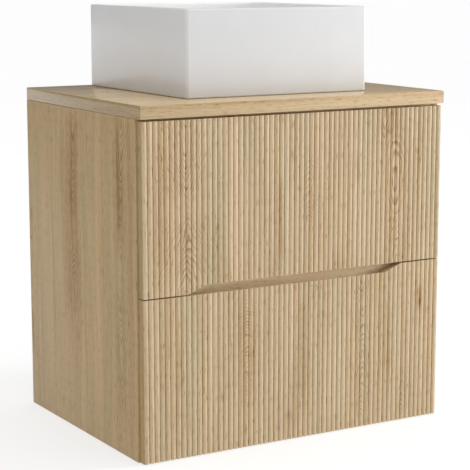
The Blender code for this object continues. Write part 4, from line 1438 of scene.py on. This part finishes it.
# ---- waste and trap ------------------------------------------------------------------------------------
@dataclass
class WasteAndTrap:
    """The push-open waste in the bowl and the bottle trap under it."""

    finishes: dict[str, bpy.types.Material]
    body: str = "cabinet"
    throat: float = 0.017
    waste: float = 0.020
    play: float = 0.0003
    pipe: float = 0.016
    pipe_wall: float = 0.002
    trap_wall: float = 0.003
    thread_pitch: float = 0.0015
    thread_depth: float = 0.0006
    corner: float = 0.0006
    nut_edge: float = 0.0012
    fine_edge: float = 0.0002
    finest_edge: float = 0.0001
    bore_sides: int = 64

    def __post_init__(self) -> None:
        """Takes the upright axis and the outlet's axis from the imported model."""
        self.centre = middle_of("waste_flange")
        self.outlet_centre = middle_of("trap_outlet_nut")

    def build(self) -> None:
        """Turns, dresses and places every piece."""
        self.washer("waste_upper_seal", "black_rubber")
        self.washer("waste_lower_seal", "black_rubber")
        self.washer("waste_nut", "plated_brass", self.nut_edge)
        self.threaded_body()
        self.flange()
        self.plug()
        self.upright_trap()
        self.outlet_pieces()

    def put(
        self, node: str, profile: Sequence[tuple[float, float]], slot: str, edge: float = 0.0,
        axis: int = 2, body: str | None = None,
    ) -> None:
        """Turns one piece, rounds its edges and finishes it.

        Args:
            node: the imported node's name.
            profile: (distance from the axis, place along it) round the section.
            slot: the name of its material slot.
            edge: how far its edges are rounded, or 0 for the usual amount.
            axis: 2 for an upright axis, 1 for one towards the wall.
            body: the body it rides on.
        """
        centre = self.centre if axis == 2 else self.outlet_centre
        piece = Workpiece.turned(f"{node}_turned", profile, centre, axis)
        piece.ease(edge or self.corner, 2)
        piece.done(body or self.body, self.finishes[slot], slot, node)

    def washer(self, node: str, slot: str, edge: float = 0.0) -> None:
        """A plain ring the size of its node, round the waste.

        Args:
            node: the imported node's name.
            slot: the name of its material slot.
            edge: how far its edges are rounded, or 0 for the usual amount.
        """
        bore = self.waste + self.play
        low, high, outer = span(node)
        self.put(node, [(bore, low.z), (outer, low.z), (outer, high.z), (bore, high.z)], slot, edge)

    def threaded_body(self) -> None:
        """The waste's tube, threaded from below the basin down."""
        low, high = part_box("waste_body")
        profile = [(self.throat, low.z), (self.waste - self.thread_depth, low.z)]
        height = low.z + 0.001
        while height < high.z - 0.026:
            profile.append((self.waste - self.thread_depth, height))
            profile.append((self.waste, height + self.thread_pitch / 2))
            height += self.thread_pitch
        profile += [(self.waste - self.thread_depth, height), (self.waste, height + 0.001)]
        profile += [(self.waste, high.z), (self.throat, high.z)]
        self.put("waste_body", profile, "plated_brass", self.finest_edge)

    def flange(self) -> None:
        """The dished flange in the bowl."""
        low, high, outer = span("waste_flange")
        profile = [
            (self.throat, low.z), (outer, low.z), (outer, low.z + 0.0008), (outer - 0.0012, low.z + 0.0020),
            (outer - 0.0040, high.z), (outer - 0.0060, high.z), (self.throat + 0.0030, high.z - 0.0008),
            (self.throat + 0.0006, high.z - 0.0016), (self.throat, high.z - 0.0024),
        ]
        self.put("waste_flange", profile, "chrome", self.fine_edge)

    def plug(self) -> None:
        """The domed cap that is pushed to open and close the waste, on its stem."""
        low, high, outer = span("waste_plug")
        under = high.z - 0.004
        profile = [
            (0, low.z), (0.0042, low.z), (0.005, low.z + 0.0008), (0.005, under - 0.001), (0.006, under),
            (outer - 0.0012, under), (outer - 0.0003, under + 0.0004), (outer, under + 0.0012),
            (outer - 0.0004, under + 0.0022), (outer - 0.0016, under + 0.0030), (outer * 0.72, high.z - 0.0003),
            (outer * 0.36, high.z - 0.00005), (0, high.z),
        ]
        self.put("waste_plug", profile, "chrome", self.finest_edge, body="waste_plug")

    def upright_trap(self) -> None:
        """The dip pipe, the inlet nut, the head with its side outlet and the cup."""
        bore = self.pipe - self.pipe_wall
        around = self.pipe + self.play
        low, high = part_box("trap_dip_pipe")
        pipe = [(bore, low.z), (self.pipe, low.z), (self.pipe, high.z), (bore, high.z)]
        self.put("trap_dip_pipe", pipe, "chrome")
        low, high, outer = span("trap_inlet_nut")
        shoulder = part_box("waste_body")[0].z - self.play
        nut = [
            (around, low.z), (outer - 0.002, low.z), (outer, low.z + 0.002), (outer, high.z - 0.004),
            (outer - 0.0006, high.z - 0.0036), (outer - 0.0006, high.z - 0.0028), (outer, high.z - 0.0024),
            (outer, high.z - 0.001), (outer - 0.001, high.z), (self.waste + self.play, high.z),
            (self.waste + self.play, shoulder), (around, shoulder),
        ]
        self.put("trap_inlet_nut", nut, "chrome", self.fine_edge)
        self.trap_head(around)
        low, high, outer = span("trap_cup")
        inner = outer - self.trap_wall
        cup = [
            (0, low.z), (outer - 0.008, low.z), (outer - 0.0035, low.z + 0.0010), (outer - 0.0010, low.z + 0.0038),
            (outer, low.z + 0.0080), (outer, high.z - 0.0080), (outer - 0.0006, high.z - 0.0076),
            (outer - 0.0006, high.z - 0.0066), (outer, high.z - 0.0062), (outer, high.z), (inner, high.z),
            (inner, low.z + 0.0080), (inner - 0.0040, low.z + self.trap_wall), (0, low.z + self.trap_wall),
        ]
        self.put("trap_cup", cup, "chrome", self.fine_edge)

    def trap_head(self, around: float) -> None:
        """The head: a domed chamber with a side outlet, bored through.

        Args:
            around: the radius of the hole round the pipe.
        """
        low, high, outer = span("trap_head")
        inner = outer - self.trap_wall
        roof = high.z - self.trap_wall
        profile = [
            (around, high.z), (outer - 0.010, high.z), (outer - 0.0045, high.z - 0.0012),
            (outer - 0.0012, high.z - 0.0045), (outer, high.z - 0.010), (outer, low.z), (inner, low.z),
            (inner, roof - 0.007), (inner - 0.006, roof), (around, roof),
        ]
        head = Workpiece.turned("trap_head_turned", profile, self.centre, 2)
        level = self.outlet_centre.z
        stub = Workpiece.rod(
            "outlet_stub", self.waste, (self.centre.x, self.centre.y + inner - self.trap_wall / 2, level),
            (self.centre.x, high.y, level), self.bore_sides,
        )
        head.cut(stub, "UNION")
        bore = Workpiece.rod(
            "outlet_bore", around, (self.centre.x, self.centre.y + self.pipe + self.trap_wall, level),
            (self.centre.x, high.y + 0.01, level), self.bore_sides,
        )
        head.cut(bore).smooth()
        head.done(self.body, self.finishes["chrome"], "chrome", "trap_head")

    def outlet_pieces(self) -> None:
        """The outlet pipe, its union nut and the rosette at the wall."""
        bore = self.pipe - self.pipe_wall
        around = self.pipe + self.play
        low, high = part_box("trap_outlet_pipe")
        pipe = [(bore, low.y), (self.pipe, low.y), (self.pipe, high.y), (bore, high.y)]
        self.put("trap_outlet_pipe", pipe, "chrome", axis=1)
        low, high, outer = span("trap_outlet_nut")
        inside = self.waste + self.play
        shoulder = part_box("trap_head")[1].y + self.play
        nut = [
            (inside, low.y), (outer - 0.001, low.y), (outer, low.y + 0.001), (outer, low.y + 0.0024),
            (outer - 0.0006, low.y + 0.0028), (outer - 0.0006, low.y + 0.0036), (outer, low.y + 0.0040),
            (outer, high.y - 0.002), (outer - 0.002, high.y), (around, high.y), (around, shoulder), (inside, shoulder),
        ]
        self.put("trap_outlet_nut", nut, "chrome", self.fine_edge, axis=1)
        low, high, outer = span("wall_rosette")
        rosette = [
            (around, low.y), (outer - 0.006, low.y), (outer - 0.0030, low.y + 0.0009), (outer - 0.0009, low.y + 0.0028),
            (outer, low.y + 0.0042), (outer, high.y), (around, high.y),
        ]
        self.put("wall_rosette", rosette, "white_plastic", self.fine_edge, axis=1)


@dataclass
class Hangers:
    """The two concealed wall hangers: a moulded housing and a steel hook."""

    body: str = "cabinet"
    moulded_edge: float = 0.0012
    sheet_edge: float = 0.0004

    def build(self, plastic: bpy.types.Material, steel: bpy.types.Material) -> None:
        """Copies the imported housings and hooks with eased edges.

        Args:
            plastic: the housings' material.
            steel: the hooks' material.
        """
        for side in ("left", "right"):
            housing = Workpiece.copy_of(f"{side}_hanger_housing", f"{side}_hanger_housing_moulded")
            housing.ease(self.moulded_edge, 3)
            housing.done(self.body, plastic, "white_plastic", f"{side}_hanger_housing")
            hook = Workpiece.copy_of(f"{side}_hanger_hook", f"{side}_hanger_hook_steel")
            hook.ease(self.sheet_edge, 2)
            hook.done(self.body, steel, "zinc_plated_steel", f"{side}_hanger_hook")


# ---- studio --------------------------------------------------------------------------------------------
@dataclass
class Studio:
    """The pale floor, the soft lights and the camera."""

    eye: Point = (-1.431, -2.410, 0.801)
    turn: float = 30.79
    tilt: float = 9.69
    lens: float = 120.5
    key_power: float = 92.0
    key_side: float = 70.0
    key_rise: float = 10.0
    key_size: float = 0.9
    key_far: float = 4.0
    sky_back: tuple[float, ...] = (-0.3, 0.9, 0.31, 0.15)
    sky_top: tuple[float, ...] = (0.35, 1.0, 1.0, 6.0)

    def build(self) -> None:
        """Sets the stage."""
        self.camera()
        self.floor()
        self.world()
        self.lights()
        bpy.context.scene.view_settings.view_transform = "Standard"

    def camera(self) -> None:
        """The camera, left of the cabinet and a little above it, looking down at it."""
        data = bpy.data.cameras.new("camera")
        data.lens, data.sensor_width = self.lens, 36.0
        data.clip_start, data.clip_end = 0.05, 60.0
        item = bpy.data.objects.new("camera", data)
        item.location = self.eye
        item.rotation_euler = (math.radians(90 - self.tilt), 0, math.radians(-self.turn))
        bpy.context.scene.collection.objects.link(item)
        bpy.context.scene.camera = item

    def floor(self) -> None:
        """A wide pale floor."""
        Workpiece.rest()
        bpy.ops.mesh.primitive_plane_add(size=240, location=(0, 0, -0.0005))
        plane = Workpiece.taken("floor").item
        graph = Graph("pale_floor")
        cloud = graph.noise([part * (1 / 400) for part in graph.place()], 2.0)
        shade = graph.ramp(cloud, [(0.3, (0.40, 0.40, 0.40)), (0.7, (0.42, 0.42, 0.42))])
        graph.set(Base_Color=shade, Roughness=0.9, Emission_Color=(1, 1, 1, 1), Emission_Strength=0.59)
        plane.data.materials.append(graph.material)

    def world(self) -> None:
        """White surroundings, dimmer towards the wall and brighter overhead."""
        world = bpy.data.worlds.new("studio")
        bpy.context.scene.world = world
        world.use_nodes = True
        tree = world.node_tree
        base = tree.nodes["Background"]
        base.inputs["Color"].default_value = (1, 1, 1, 1)
        way = tree.nodes.new("ShaderNodeTexCoord")
        parts = tree.nodes.new("ShaderNodeSeparateXYZ")
        tree.links.new(way.outputs["Generated"], parts.inputs[0])
        glow = tree.nodes.new("ShaderNodeMath")
        glow.operation = "MULTIPLY"
        for index, (axis, spread) in enumerate((("Y", self.sky_back), ("Z", self.sky_top))):
            fade = tree.nodes.new("ShaderNodeMapRange")
            for target, value in zip(fade.inputs[1:5], spread):
                target.default_value = value
            tree.links.new(parts.outputs[axis], fade.inputs["Value"])
            tree.links.new(fade.outputs[0], glow.inputs[index])
        tree.links.new(glow.outputs[0], base.inputs["Strength"])
        seen = tree.nodes.new("ShaderNodeBackground")
        seen.inputs["Color"].default_value = (1, 1, 1, 1)
        path = tree.nodes.new("ShaderNodeLightPath")
        join = tree.nodes.new("ShaderNodeMixShader")
        tree.links.new(path.outputs["Is Camera Ray"], join.inputs[0])
        tree.links.new(base.outputs[0], join.inputs[1])
        tree.links.new(seen.outputs[0], join.inputs[2])
        tree.links.new(join.outputs[0], tree.nodes["World Output"].inputs[0])

    def lights(self) -> None:
        """One soft key light from the front and the right."""
        side, rise = math.radians(self.key_side), math.radians(self.key_rise)
        away = Vector((math.sin(side) * math.cos(rise), -math.cos(side) * math.cos(rise), math.sin(rise)))
        data = bpy.data.lights.new("key", "AREA")
        data.energy, data.shape, data.size = self.key_power, "DISK", self.key_size
        item = bpy.data.objects.new("key", data)
        item.location = Vector((0, 0, 0.35)) + away * self.key_far
        item.rotation_euler = (-away).to_track_quat("-Z", "Y").to_euler()
        bpy.context.scene.collection.objects.link(item)


FINISHES = (
    MetalFinish("zinc_plated_steel", (0.66, 0.67, 0.68), (0.50, 0.51, 0.53), 0.36, 0.12, 0.9, 0.00003),
    MetalFinish("chrome", (0.80, 0.81, 0.82), (0.74, 0.75, 0.76), 0.10, 0.04, 0.5, 0.00001),
    MetalFinish("plated_brass", (0.72, 0.68, 0.57), (0.60, 0.55, 0.44), 0.28, 0.10, 0.9, 0.00002),
    MouldedFinish("black_rubber", (0.040, 0.040, 0.040), (0.022, 0.022, 0.022), 0.78, 0.00006),
    MouldedFinish("white_plastic", (0.78, 0.78, 0.76), (0.72, 0.72, 0.70), 0.38, 0.00003),
    MelamineFinish(),
    CeramicFinish(),
)


def main() -> None:
    """Builds the vanity piece by piece."""
    logging.basicConfig(level=logging.INFO, format="%(name)s %(message)s")
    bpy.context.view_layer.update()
    Studio().build()
    finishes = {finish.name: finish.material() for finish in FINISHES}
    Cabinet().build()
    Hangers().build(finishes["white_plastic"], finishes["zinc_plated_steel"])
    FlutedFronts().build()
    for drawer in ("upper", "lower"):
        DrawerBox(drawer).build(finishes["drawer_melamine"], finishes["zinc_plated_steel"])
    Basin().build(finishes["glazed_ceramic"], finishes["black_rubber"])
    WasteAndTrap(finishes).build()
    Workpiece.rest()


if __name__ == "__main__":
    main()
